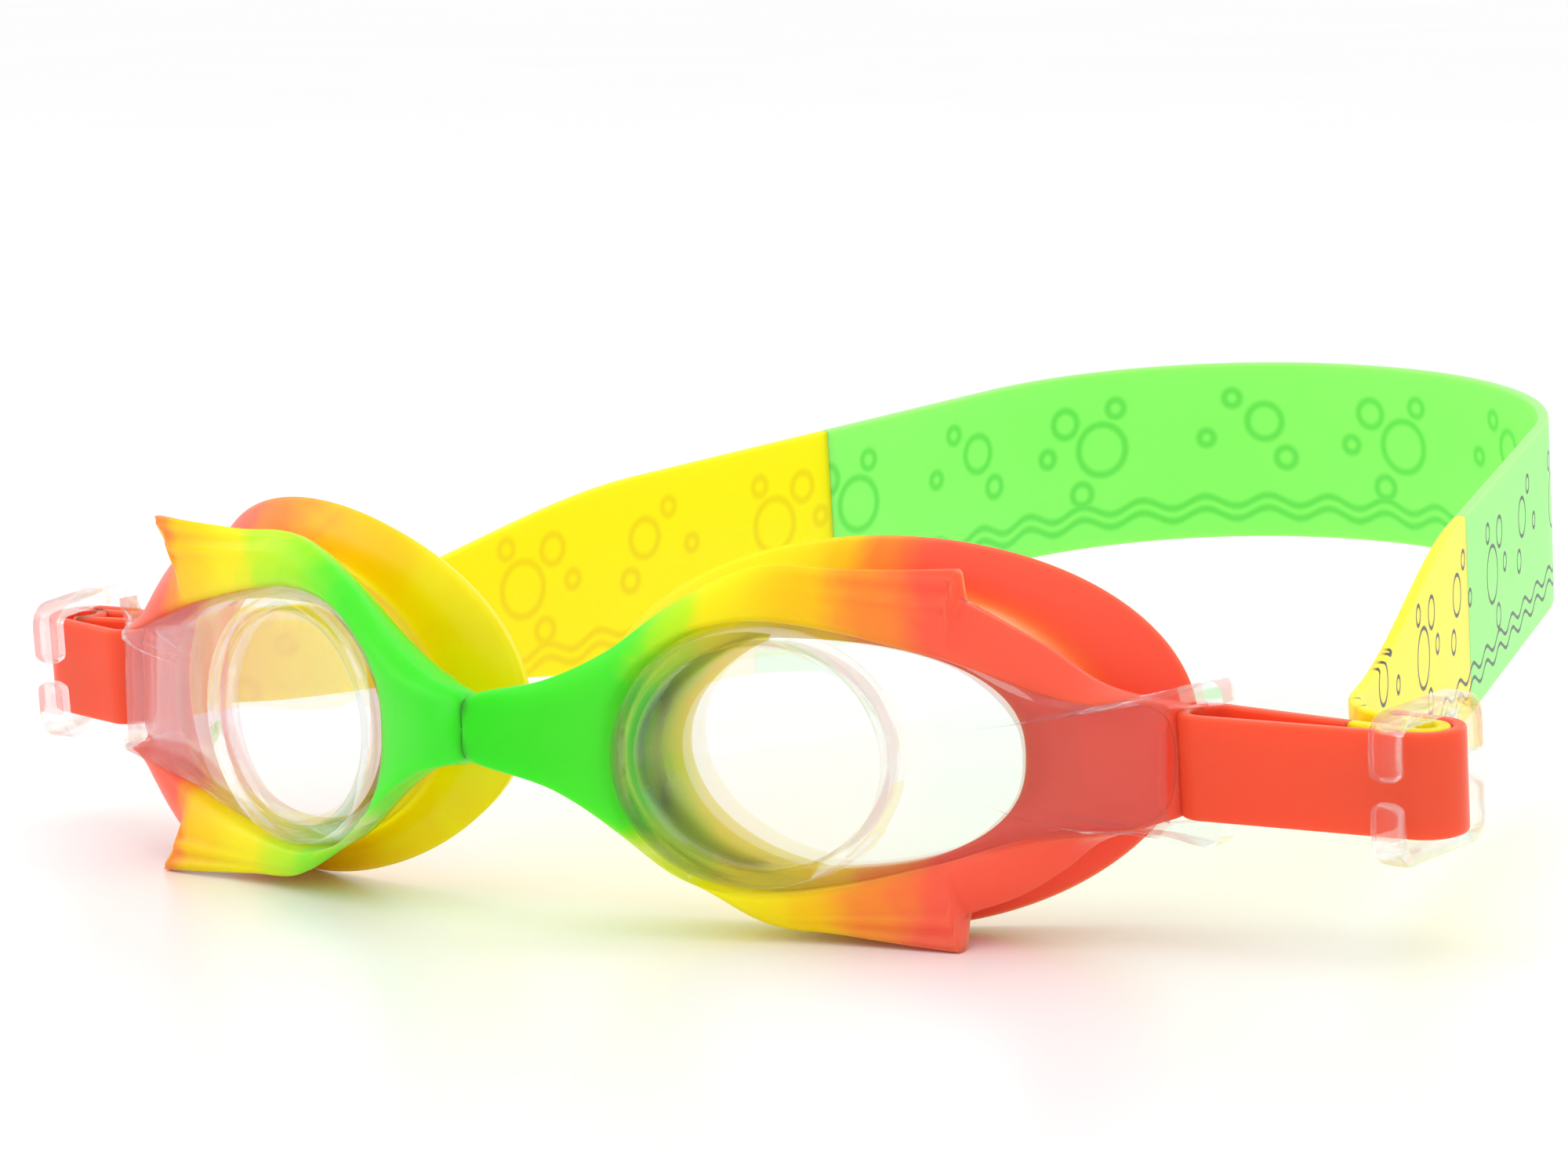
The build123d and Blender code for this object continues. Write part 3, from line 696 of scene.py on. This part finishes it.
# ---------------------------------------------------------------- lenses
@dataclass
class Lens:
    """One clear lens: raised window, side window and arm with its slot and end bar."""

    line: PlanLine = field(default_factory=PlanLine)
    eye_z: float = 20.9
    arm_z: float = 19.8
    window_half: tuple[float, float] = (16.3, 14.7)
    rim_wall: float = 1.7
    pane_height: float = 3.0
    skin: float = 1.8
    pane_back: float = 2.0
    slot: tuple[float, float] = (4.8, 13.0)
    bar_half: float = 1.0
    bar_inset: float = 1.1
    # how far the arm's front swells out, between which X it rises and between which it falls again
    arm_swell: float = 3.6
    swell_rise: tuple[float, float] = (50.0, 62.0)
    swell_fall: tuple[float, float] = (65.5, 70.0)
    ear_lip: float = 0.5
    cutter_depth: float = 12.0
    # each anchor: outline X, Z and the angle round the window
    anchors: tuple[tuple[float, float, float], ...] = (
        (15.6, 20.9, 180), (16.9, 27.9, 152), (22.2, 33.5, 125), (31.7, 36.2, 92), (40.6, 35.0, 66),
        (47.0, 33.6, 48), (52.4, 32.0, 36), (59.5, 29.0, 25), (64.2, 27.4, 18), (68.6, 26.8, 13),
        (72.4, 27.7, 9), (75.6, 29.2, 7.5), (76.5, 28.4, 6), (76.7, 19.8, 0), (76.5, 11.2, -6),
        (75.6, 10.4, -7.5), (72.4, 11.8, -9), (68.6, 12.7, -13), (64.2, 12.8, -18), (59.5, 12.3, -25),
        (52.4, 10.0, -36), (47.0, 8.3, -48), (40.6, 6.8, -66), (31.7, 5.6, -92), (22.2, 8.3, -125),
        (16.9, 13.9, -152),
    )
    steps: tuple[int, ...] = (7, 7, 7, 7, 6, 6, 6, 5, 4, 4, 4, 3, 9, 9, 3, 4, 4, 4, 5, 6, 6, 6, 7, 7, 7, 7)

    def oval(self, angle: np.ndarray, inset: float) -> tuple[np.ndarray, np.ndarray]:
        """Front-view X and Z round the window, inset millimetres inside it."""
        across = math.cos(math.radians(self.line.yaw))
        return (self.line.window[0] + across * (self.window_half[0] - inset) * np.cos(angle),
                self.eye_z + (self.window_half[1] - inset) * np.sin(angle))

    def skin_front(self, x: np.ndarray, z: np.ndarray) -> np.ndarray:
        """Depth of the skin's front, which swells into a thick arm past the side window."""
        (rise, risen), (fall, fallen) = self.swell_rise, self.swell_fall
        swell = smooth((x - rise) / (risen - rise)) * (1 - smooth((x - fall) / (fallen - fall)))
        lip = self.ear_lip * smooth((np.abs(z - self.arm_z) - 6.9) / 1.8) * smooth((x - 69.0) / 3.0)
        return self.pane_height - self.arm_swell * swell - lip

    def build(self, side: Side) -> bpy.types.Object:
        """Build one lens.

        Args:
            side: which side it is for.

        Returns:
            The lens's object.
        """
        rows = through(self.anchors, {12, 14}, self.steps, (0, 0, -360))
        ox, oz = rows[:, 0], rows[:, 1]
        angle = np.radians(rows[:, 2])
        place = self.line.place
        columns = []
        wall = self.rim_wall
        # pane, its rounded rim and the rim's outer wall, as distance inside the rim and depth
        rim = ((6.0, 0.45), (wall + 0.4, 0.45), (wall, 0.4), (wall - 0.3, 0.1), (wall - 0.55, 0.0),
               (0.5, 0.0), (0.2, 0.12), (0.1, 0.4), (0.02, 2.2), (-0.03, 2.75))
        for inset, depth in rim:
            columns.append(place(*self.oval(angle, inset), depth))
        wx, wz = self.oval(angle, 0.0)
        for share in (0.04, 0.1, 0.2, 0.3, 0.4, 0.5, 0.6, 0.7, 0.8, 0.9, 0.97, 1.0):
            sx, sz = mix(wx, ox, share), mix(wz, oz, share)
            columns.append(place(sx, sz, self.skin_front(sx, sz)))
        back = self.pane_height + self.skin
        hx, hz = self.oval(angle, wall)
        for share in (0.0, 0.03, 0.1, 0.2, 0.3, 0.4, 0.5, 0.6, 0.7, 0.8, 0.9, 1.0):
            columns.append(place(mix(ox, hx, share), mix(oz, hz, share), back))
        for inset, step in ((wall, 0.4), (wall + 0.3, 0.0), (6.0, 0.0)):
            columns.append(place(*self.oval(angle, inset), self.pane_back + step))
        points = np.stack(columns, axis=1)
        points[..., 0] *= side.value
        shape = bmesh.new()
        verts = add_grid(shape, points, True, False)
        for column in (0, points.shape[1] - 1):
            shape.faces.new([row[column] for row in verts])
        piece = object_from(f"{side.word}_lens_clear", shape)
        self.cut_slot(piece, side)
        bevelled(piece, 0.22, 40.0)
        piece.data.materials.append(ClearPolycarbonate(f"clear_polycarbonate_{side.word}_lens").make())
        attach(piece, "frame")
        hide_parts(f"{side.word}_lens")
        return piece

    def cut_slot(self, piece: bpy.types.Object, side: Side) -> None:
        """Cut the strap's slot just inside the arm's end bar."""
        slope = math.radians(self.line.arm_slope)
        way = np.array([math.cos(slope), math.sin(slope)])
        back = np.array([-way[1], way[0]])
        middle = (np.array(self.line.arm_end) + back * (self.pane_height + self.skin / 2)
                  - way * (self.bar_inset + self.bar_half + self.slot[0] / 2))
        cutter_shape = bmesh.new()
        bmesh.ops.create_cube(cutter_shape, size=1.0)
        long_edges = [e for e in cutter_shape.edges if abs(e.verts[0].co.y - e.verts[1].co.y) > 0.5]
        bmesh.ops.bevel(cutter_shape, geom=long_edges, offset=0.08, segments=3, affect="EDGES")
        cutter = object_from("slot_cutter", cutter_shape)
        cutter.scale = (self.slot[0] * MM, self.cutter_depth * MM, self.slot[1] * MM)
        cutter.rotation_euler = (0, 0, slope * side.value)
        cutter.location = (middle[0] * side.value * MM, middle[1] * MM, self.arm_z * MM)
        cut = piece.modifiers.new("slot", "BOOLEAN")
        cut.object = cutter
        cut.solver = "EXACT"
        apply_modifiers(piece)
        bpy.data.objects.remove(cutter)


# ---------------------------------------------------------------- strap
@dataclass(frozen=True)
class StrapPlane:
    """Plane of the strap's middle line: it climbs to the back through the arms' bars."""

    bar: tuple[float, float] = (75.18, 39.334)
    arm_z: float = 19.8
    rise: float = 4.86

    def place(self, plan: np.ndarray, height: np.ndarray | float) -> np.ndarray:
        """Points of the row frame from places on the plane and heights off it, in millimetres."""
        turn = math.radians(self.rise)
        start = self.arm_z - self.bar[1] * math.tan(turn)
        height = np.broadcast_to(np.asarray(height, float), plan.shape[:-1])
        return np.stack([plan[..., 0], plan[..., 1] * math.cos(turn) - height * math.sin(turn),
                         start + plan[..., 1] * math.sin(turn) + height * math.cos(turn)], axis=-1)

    def bar_on_plane(self, side: Side) -> np.ndarray:
        """Where an arm's bar stands on the plane."""
        return np.array([self.bar[0] * side.value, self.bar[1] / math.cos(math.radians(self.rise))])


def unit(degrees: float) -> np.ndarray:
    """The plan direction at an angle from +X."""
    return np.array([math.cos(math.radians(degrees)), math.sin(math.radians(degrees))])


def arc(middle: np.ndarray, radius: float, start: float, end: float, step: float = 0.35) -> np.ndarray:
    """Points of an arc.

    Args:
        middle: its middle.
        radius: its radius.
        start: angle of its first point, in degrees.
        end: angle of its last point.
        step: distance between points.

    Returns:
        The points.
    """
    count = max(3, int(abs(math.radians(end - start)) * radius / step) + 1)
    return np.array([middle + unit(a) * radius for a in np.linspace(start, end, count)])


def rounded_path(corners: Sequence[np.ndarray], radii: Sequence[float], step: float = 1.2) -> np.ndarray:
    """A polyline with rounded corners.

    Args:
        corners: its corners, ends included.
        radii: the bend at each inner corner.
        step: distance between points.

    Returns:
        The points.
    """
    rows = [np.array(corners[0], float)]
    for i, radius in enumerate(radii):
        before, here, after = (np.array(corners[i + k], float) for k in range(3))
        a, b = (before - here) / np.linalg.norm(before - here), (after - here) / np.linalg.norm(after - here)
        half = math.acos(float(np.clip(a @ b, -1, 1))) / 2
        middle = here + (a + b) / np.linalg.norm(a + b) * radius / math.sin(half)
        first, last = here + a * radius / math.tan(half), here + b * radius / math.tan(half)
        one = math.degrees(math.atan2(*(first - middle)[::-1]))
        two = math.degrees(math.atan2(*(last - middle)[::-1]))
        two = one + (two - one + 180) % 360 - 180
        rows.append(arc(middle, radius, one, two, step))
    rows.append(np.array(corners[-1], float))
    points = np.vstack(rows)
    dense = [points[0]]
    for a, b in zip(points[:-1], points[1:]):
        count = max(1, int(np.linalg.norm(b - a) / step))
        dense += [a + (b - a) * k / count for k in range(1, count + 1)]
    return np.array(dense)


@dataclass
class Strap:
    """Head strap: coral ends round the arms' bars and the clips, yellow sides, green back."""

    plane: StrapPlane = field(default_factory=StrapPlane)
    thickness: float = 1.5
    # distances from the arm's bar, along an end's own direction in plan, where its twist would start and end;
    # nothing applies the twist
    twist_reach: tuple[float, float] = (1.5, 6.8)
    twist_way: dict[Side, tuple[float, float]] = field(
        default_factory=lambda: {Side.RIGHT: (0.98, 0.2), Side.LEFT: (0.6, 0.8)})
    narrow: float = 12.0
    wide: float = 25.0
    taper: tuple[float, float] = (56.0, 110.0)
    loop_radius: float = 2.2
    wrap_radius: float = 1.35
    wrap_gap: float = 0.2
    clip_bar: dict[Side, tuple[float, float]] = field(
        default_factory=lambda: {Side.RIGHT: (101.0, 40.5), Side.LEFT: (-85.2, 43.6)})
    clip_yaw: dict[Side, float] = field(default_factory=lambda: {Side.RIGHT: 80.0, Side.LEFT: 90.0})
    leg_run: dict[Side, float] = field(default_factory=lambda: {Side.RIGHT: 12.5, Side.LEFT: 7.8})
    leg_bend: dict[Side, float] = field(default_factory=lambda: {Side.RIGHT: 12.0, Side.LEFT: 18.0})
    tail_turn: dict[Side, float] = field(default_factory=lambda: {Side.RIGHT: 26.0, Side.LEFT: 16.0})
    coral_end: dict[Side, float] = field(default_factory=lambda: {Side.RIGHT: 92.0, Side.LEFT: -77.0})
    green_y: dict[Side, float] = field(default_factory=lambda: {Side.RIGHT: 115.0, Side.LEFT: 144.0})
    back_right: tuple[float, float] = (49.0, 206.0)
    back_left: tuple[float, float] = (-19.9, 206.0)
    left_corner: tuple[float, float] = (-58.3, 56.0)
    back_bends: tuple[float, float, float] = (47.0, 40.0, 20.0)

    @property
    def inner_line(self) -> float:
        """Radius of the first wrap's middle line."""
        return self.wrap_radius + self.thickness / 2

    @property
    def outer_line(self) -> float:
        """Radius of the second wrap's middle line."""
        return self.inner_line + self.thickness + self.wrap_gap

    def leg(self, side: Side) -> tuple[np.ndarray, np.ndarray]:
        """Start and first corner of the band where it leaves a clip."""
        start = np.array(self.clip_bar[side]) + unit(self.clip_yaw[side]) * self.inner_line
        return start, start + unit(self.clip_yaw[side] + 90 * side.value) * self.leg_run[side]

    def band(self) -> np.ndarray:
        """Middle line of the band, from the right clip round the back to the left clip."""
        (start_r, corner_r), (start_l, corner_l) = self.leg(Side.RIGHT), self.leg(Side.LEFT)
        return rounded_path(
            (start_r, corner_r, np.array(self.back_right), np.array(self.back_left),
             np.array(self.left_corner), corner_l, start_l),
            (self.leg_bend[Side.RIGHT], *self.back_bends, self.leg_bend[Side.LEFT]))

    def run_way(self, side: Side, bar_radius: float, clip_radius: float) -> float:
        """Direction of the run that touches a circle round the arm's bar and one round the clip's bar.

        Args:
            side: which side.
            bar_radius: radius at the arm's bar, positive where the circle is on the run's left.
            clip_radius: the same at the clip's bar.

        Returns:
            The run's direction in degrees.
        """
        across = np.array(self.clip_bar[side]) - self.plane.bar_on_plane(side)
        turn = math.degrees(math.asin((bar_radius - clip_radius) / float(np.linalg.norm(across))))
        return math.degrees(math.atan2(across[1], across[0])) + turn

    def end_path(self, side: Side) -> np.ndarray:
        """Middle line of one coral and yellow end, before the band.

        Args:
            side: which side.

        Returns:
            The line from the free tail over the clip's fold, through the arm and back round the clip's bar.
        """
        hand = side.value
        arm, clip, yaw = self.plane.bar_on_plane(side), np.array(self.clip_bar[side]), self.clip_yaw[side]
        loop_line = self.loop_radius + self.thickness / 2
        front_way = self.run_way(side, hand * loop_line, hand * self.outer_line)
        rear_way = self.run_way(side, -hand * loop_line, hand * self.inner_line)
        _, corner = self.leg(side)
        following = np.array(self.back_right if side is Side.RIGHT else self.left_corner)
        heading = math.degrees(math.atan2(*(following - corner)[::-1]))
        turn = abs((heading - yaw - 90 * hand + 180) % 360 - 180)
        straight = self.leg_run[side] - self.leg_bend[side] * math.tan(math.radians(turn) / 2)
        bend = self.leg_bend[side] - self.outer_line + self.inner_line
        fold = clip + unit(yaw) * self.outer_line
        tail_way = yaw + 90 * hand
        knee = fold + unit(tail_way) * straight
        pivot = knee + unit(tail_way - 90 * hand) * bend
        tail = arc(pivot, bend, tail_way + 90 * hand, tail_way + 90 * hand - hand * self.tail_turn[side])
        wrap_out = arc(clip, self.outer_line, yaw, self.near(front_way - 90 * hand, yaw))
        loop_start = front_way - 90 * hand
        loop = arc(arm, loop_line, loop_start, self.near(rear_way + 90 * hand, loop_start - 180 * hand))
        wrap_in = arc(clip, self.inner_line, self.near(rear_way - 90 * hand, yaw), yaw)
        line = np.vstack([tail[::-1], wrap_out, loop, wrap_in])
        dense = [line[0]]
        for a, b in zip(line[:-1], line[1:]):
            length = float(np.linalg.norm(b - a))
            if length < 0.01:
                continue
            count = max(1, round(length / 1.2))
            dense += [a + (b - a) * k / count for k in range(1, count + 1)]
        return np.array(dense)

    @staticmethod
    def near(angle: float, other: float) -> float:
        """The same angle, in the turn that is nearest to another."""
        return other + (angle - other + 180) % 360 - 180

    def width_at(self, plan: np.ndarray) -> np.ndarray:
        """Width of the band at places on the plane."""
        share = np.clip((plan[:, 1] - self.taper[0]) / (self.taper[1] - self.taper[0]), 0, 1)
        return self.narrow + (self.wide - self.narrow) * share**2 * (3 - 2 * share)

    def ribbon(self, name: str, plan: np.ndarray, width: np.ndarray, run_start: float, outer_sign: float,
               round_start: bool = False) -> bpy.types.Object:
        """Sweep the strap's section along a line.

        Args:
            name: the piece's name.
            plan: the middle line on the strap's plane.
            width: the strap's width at each point.
            run_start: distance along the strap where this piece starts, for the print.
            outer_sign: +1 where the printed face is on the line's right.
            round_start: round the free end off.

        Returns:
            The piece.
        """
        delta = np.gradient(plan, axis=0)
        delta /= np.linalg.norm(delta, axis=1)[:, None]
        normal = np.stack([delta[:, 1], -delta[:, 0]], -1) * outer_sign
        run = run_start + np.concatenate([[0], np.cumsum(np.linalg.norm(np.diff(plan, axis=0), axis=1))])
        half = width / 2
        if round_start:
            near_end = np.clip(1 - (run - run[0]) / 3.2, 0, 1)
            half = half * np.sqrt(1 - 0.55 * near_end**2.2)
        t, r = self.thickness / 2, 0.42
        profile = []
        for sx, sz, start in ((1, 1, 0), (-1, 1, 90), (-1, -1, 180), (1, -1, 270)):
            for k in range(4):
                a = math.radians(start + 30 * k)
                profile.append((sx * (t - r) + r * math.cos(a), sz, r * math.sin(a) - sz * r))
        loops = []
        outer, height = [], []
        for k, (off, sz, dz) in enumerate(profile):
            z = sz * half + dz
            loops.append(self.plane.place(plan + normal * off, z))
            outer.append(1.0 if off > 0 else 0.0)
            height.append(z)
        points = np.stack(loops, axis=1)
        shape = bmesh.new()
        layer = shape.verts.layers.float.new("outer")
        uv = shape.loops.layers.uv.new("run")
        verts = add_grid(shape, points, False, True)
        for row in verts:
            for k, vert in enumerate(row):
                vert[layer] = outer[k]
        shape.faces.new(verts[0])
        shape.faces.new(verts[-1][::-1])
        lookup = {v: (run[i], height[k][i]) for i, row in enumerate(verts) for k, v in enumerate(row)}
        for face in shape.faces:
            for loop in face.loops:
                loop[uv].uv = lookup[loop.vert]
        piece = object_from(name, shape)
        bevelled(piece, 0.15, 60.0)
        return piece

    def hold(self, tip: bpy.types.Object, side: Side) -> None:
        """Bake the end's transform into its mesh. The points where its twist would start and end are worked
        out, but nothing uses them.
        """
        bar, way = np.array(self.plane.bar), np.array(self.twist_way[side])
        start, end = ((side.value * x * MM, y * MM, self.plane.arm_z * MM)
                      for x, y in (bar + way * reach for reach in self.twist_reach))
        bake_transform(tip)
        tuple(start)
        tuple(end)

    def build(self) -> list[bpy.types.Object]:
        """Build the strap's five colour lengths.

        Returns:
            The pieces.
        """
        band = self.band()
        green = (band[:, 1] > np.where(band[:, 0] > 0, self.green_y[Side.RIGHT], self.green_y[Side.LEFT]))
        first, last = int(np.argmax(green)), len(green) - int(np.argmax(green[::-1]))
        run = np.concatenate([[0], np.cumsum(np.linalg.norm(np.diff(band, axis=0), axis=1))])
        width = self.width_at(band)
        coral = MouldedSilicone("silicone_coral_strap").printed("FF5634", None, None)
        yellow = MouldedSilicone("silicone_yellow_strap").printed("FFE800", "1C1A18", "E8C400")
        lime = MouldedSilicone("silicone_green_strap").printed("90F674", "14301A", "34C43C")
        pieces = []
        back = self.ribbon("strap_green_back", band[first:last], width[first:last], run[first], 1)
        back.data.materials.append(lime)
        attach(back, "strap")
        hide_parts("green_back_band")
        pieces.append(back)
        for side in Side:
            end = self.end_path(side)
            leg = band[:first + 1] if side is Side.RIGHT else band[::-1][:len(band) - last + 1]
            edge = self.coral_end[side]
            if side is Side.RIGHT:
                split = len(end) - int(np.argmax(np.abs(end[::-1, 0] - edge) < 1.0))
                coral_line = end[:split]
                yellow_line = np.vstack([end[split - 1:-1], leg])
            else:
                split = int(np.argmax(leg[:, 0] > edge)) + 1
                coral_line = np.vstack([end[:-1], leg[:split]])
                yellow_line = leg[split - 1:]
            sign = side.value
            tip = self.ribbon(f"{side.word}_strap_coral_end", coral_line,
                              np.full(len(coral_line), self.narrow), 0.0, sign, True)
            tip.data.materials.append(coral)
            self.hold(tip, side)
            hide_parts(f"{side.word}_rear_run", f"{side.word}_tail_run", f"{side.word}_arm_loop")
            length = float(np.sum(np.linalg.norm(np.diff(yellow_line, axis=0), axis=1)))
            run_start = run[first] - length if side is Side.RIGHT else 0.0
            wing = self.ribbon(f"{side.word}_strap_yellow_side", yellow_line, self.width_at(yellow_line),
                               run_start, sign)
            wing.data.materials.append(yellow)
            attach(wing, "strap")
            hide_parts(f"{side.word}_yellow_band")
            pieces += [tip, wing]
        return pieces


# ---------------------------------------------------------------- clips
@dataclass
class Clip:
    """Clear clip: an upper and a lower arch with hook ends, joined by the bar inside the wound strap."""

    strap: Strap
    half_length: float = 8.6
    height: float = 17.4
    rail: float = 2.0
    width: float = 4.0
    gap: float = 2.4
    corner: float = 3.0
    bar_radius: float = 1.1

    def build(self, side: Side) -> bpy.types.Object:
        """Build one clip.

        Args:
            side: which side it is for.

        Returns:
            The clip's object.
        """
        plane = self.strap.plane
        along = unit(self.strap.clip_yaw[side])
        across = np.array([-along[1], along[0]])
        middle = np.array(self.strap.clip_bar[side])
        half_rail = self.rail / 2
        reach, top, bend = (size - half_rail for size in (self.half_length, self.height / 2, self.corner))
        pieces = []
        for up in (1, -1):
            path = rounded_path(((-reach, self.gap / 2), (-reach, top), (reach, top), (reach, self.gap / 2)),
                                (bend, bend), 0.5)
            delta = np.gradient(path, axis=0)
            delta /= np.linalg.norm(delta, axis=1)[:, None]
            normal = np.stack([-delta[:, 1], delta[:, 0]], -1)
            run = np.concatenate([[0], np.cumsum(np.linalg.norm(np.diff(path, axis=0), axis=1))])
            to_end = np.minimum(run, run[-1] - run)
            swell = np.sqrt(1 - np.clip(1 - to_end / 1.1, 0, 1) ** 2 * 0.75)
            ring = []
            for k in range(20):
                a = math.tau * k / 20
                c, s = math.cos(a), math.sin(a)
                ring.append((math.copysign(abs(c) ** 0.5, c) * half_rail,
                             math.copysign(abs(s) ** 0.42, s) * self.width / 2))
            loops = []
            for off, wide in ring:
                here = path + normal * (off * swell)[:, None]
                plan = middle + along * here[:, :1] + across * (wide * swell)[:, None]
                loops.append(plane.place(plan, here[:, 1] * up))
            shape = bmesh.new()
            verts = add_grid(shape, np.stack(loops, axis=1), False, True)
            shape.faces.new(verts[0])
            shape.faces.new(verts[-1][::-1])
            pieces.append(object_from(f"{side.word}_clip_arch", shape))
        shape = bmesh.new()
        turns = np.linspace(0, math.tau, 25)[:-1]
        circle = np.stack([np.cos(turns), np.sin(turns)], -1) * self.bar_radius
        levels = np.linspace(-top, top, 12)
        points = np.stack([plane.place(middle + circle, level) for level in levels])
        verts = add_grid(shape, points, False, True)
        shape.faces.new(verts[0])
        shape.faces.new(verts[-1][::-1])
        clip = object_from(f"{side.word}_clip_clear", shape)
        for arch in pieces:
            join = clip.modifiers.new("arch", "BOOLEAN")
            join.operation = "UNION"
            join.object = arch
            join.solver = "EXACT"
        apply_modifiers(clip)
        for arch in pieces:
            bpy.data.objects.remove(arch)
        plastic = ClearPolycarbonate(f"clear_polycarbonate_{side.word}_clip", tint="FFF4F4", roughness=0.06)
        clip.data.materials.append(plastic.make())
        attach(clip, f"{side.word}_clip_body")
        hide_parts(f"{side.word}_clip")
        return clip


# ---------------------------------------------------------------- stage
@dataclass(frozen=True)
class Studio:
    """White table, soft lights all round and the camera."""

    eye: tuple[float, float, float] = (367.99, -540.26, 131.11)
    aim: tuple[float, float, float] = (25.25, 30.15, 37.59)
    roll: float = -0.77
    lens_mm: float = 135.0
    # each lamp: name, place in metres, size in metres and power in watts
    lamps: tuple[tuple[str, tuple[float, float, float], float, float], ...] = (
        ("soft_box_over", (0.0, 0.05, 0.9), 0.8, 1.6),
        ("soft_box_left", (-0.9, -0.3, 0.45), 0.5, 1.0),
        ("soft_box_behind", (0.3, 1.0, 0.5), 0.7, 1.4),
    )
    lamp_aim: tuple[float, float, float] = (0.0, 0.08, 0.02)
    sky: float = 1.0

    def table(self) -> None:
        """White laminate table top, wide enough to fill every view."""
        shape = bmesh.new()
        bmesh.ops.create_grid(shape, x_segments=8, y_segments=8, size=6.0)
        table = object_from("table", shape)
        material, tree, shader = new_material("white_laminate")
        where = add_node(tree, "TexCoord").outputs["Object"]
        mottle = add_node(tree, "TexNoise", {"[Scale]": 9.0, "[Detail]": 2.0}, {"Vector": where})
        ramp = add_node(tree, "ValToRGB", links={"Fac": mottle.outputs[0]})
        set_ramp(ramp, [(0.0, "FAFAFC"), (1.0, "FFFFFF")])
        tree.links.new(ramp.outputs[0], shader.inputs["Base Color"])
        shader.inputs["Roughness"].default_value = 0.32
        shader.inputs["Specular IOR Level"].default_value = 0.9
        table.data.materials.append(material)

    def lights(self) -> None:
        """White surroundings and three large soft boxes."""
        world = bpy.data.worlds.new("white_room")
        bpy.context.scene.world = world
        world.use_nodes = True
        background = world.node_tree.nodes["Background"]
        background.inputs["Color"].default_value = (1.0, 1.0, 1.0, 1.0)
        background.inputs["Strength"].default_value = self.sky
        for name, place, size, power in self.lamps:
            light = bpy.data.lights.new(name, "AREA")
            light.size = size
            light.energy = power
            lamp = bpy.data.objects.new(name, light)
            lamp.location = place
            way = Vector(self.lamp_aim) - Vector(place)
            lamp.rotation_euler = way.to_track_quat("-Z", "Y").to_euler()
            bpy.context.scene.collection.objects.link(lamp)

    def camera(self) -> None:
        """Long lens low over the table on the goggles' right, with the plain display curve of a white set."""
        bpy.context.scene.view_settings.view_transform = "Standard"
        data = bpy.data.cameras.new("camera")
        data.lens = self.lens_mm
        data.sensor_width = 36.0
        data.clip_start, data.clip_end = 0.01, 50.0
        camera = bpy.data.objects.new("camera", data)
        eye, aim = Vector(self.eye) * MM, Vector(self.aim) * MM
        facing = (aim - eye).to_track_quat("-Z", "Y").to_matrix().to_4x4()
        rolled = facing @ Matrix.Rotation(math.radians(self.roll), 4, "Z")
        camera.matrix_world = Matrix.Translation(eye) @ rolled
        bpy.context.scene.collection.objects.link(camera)
        bpy.context.scene.camera = camera


def main() -> None:
    """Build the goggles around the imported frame."""
    logging.basicConfig(level=logging.INFO, format="%(message)s")
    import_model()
    log.info("built %s", SiliconeFrame().build().name)
    for side in Side:
        log.info("built %s", Lens().build(side).name)
    strap = Strap()
    for piece in strap.build():
        log.info("built %s", piece.name)
    for side in Side:
        log.info("built %s", Clip(strap).build(side).name)
    studio = Studio()
    studio.table()
    studio.lights()
    studio.camera()


if __name__ == "__main__":
    main()
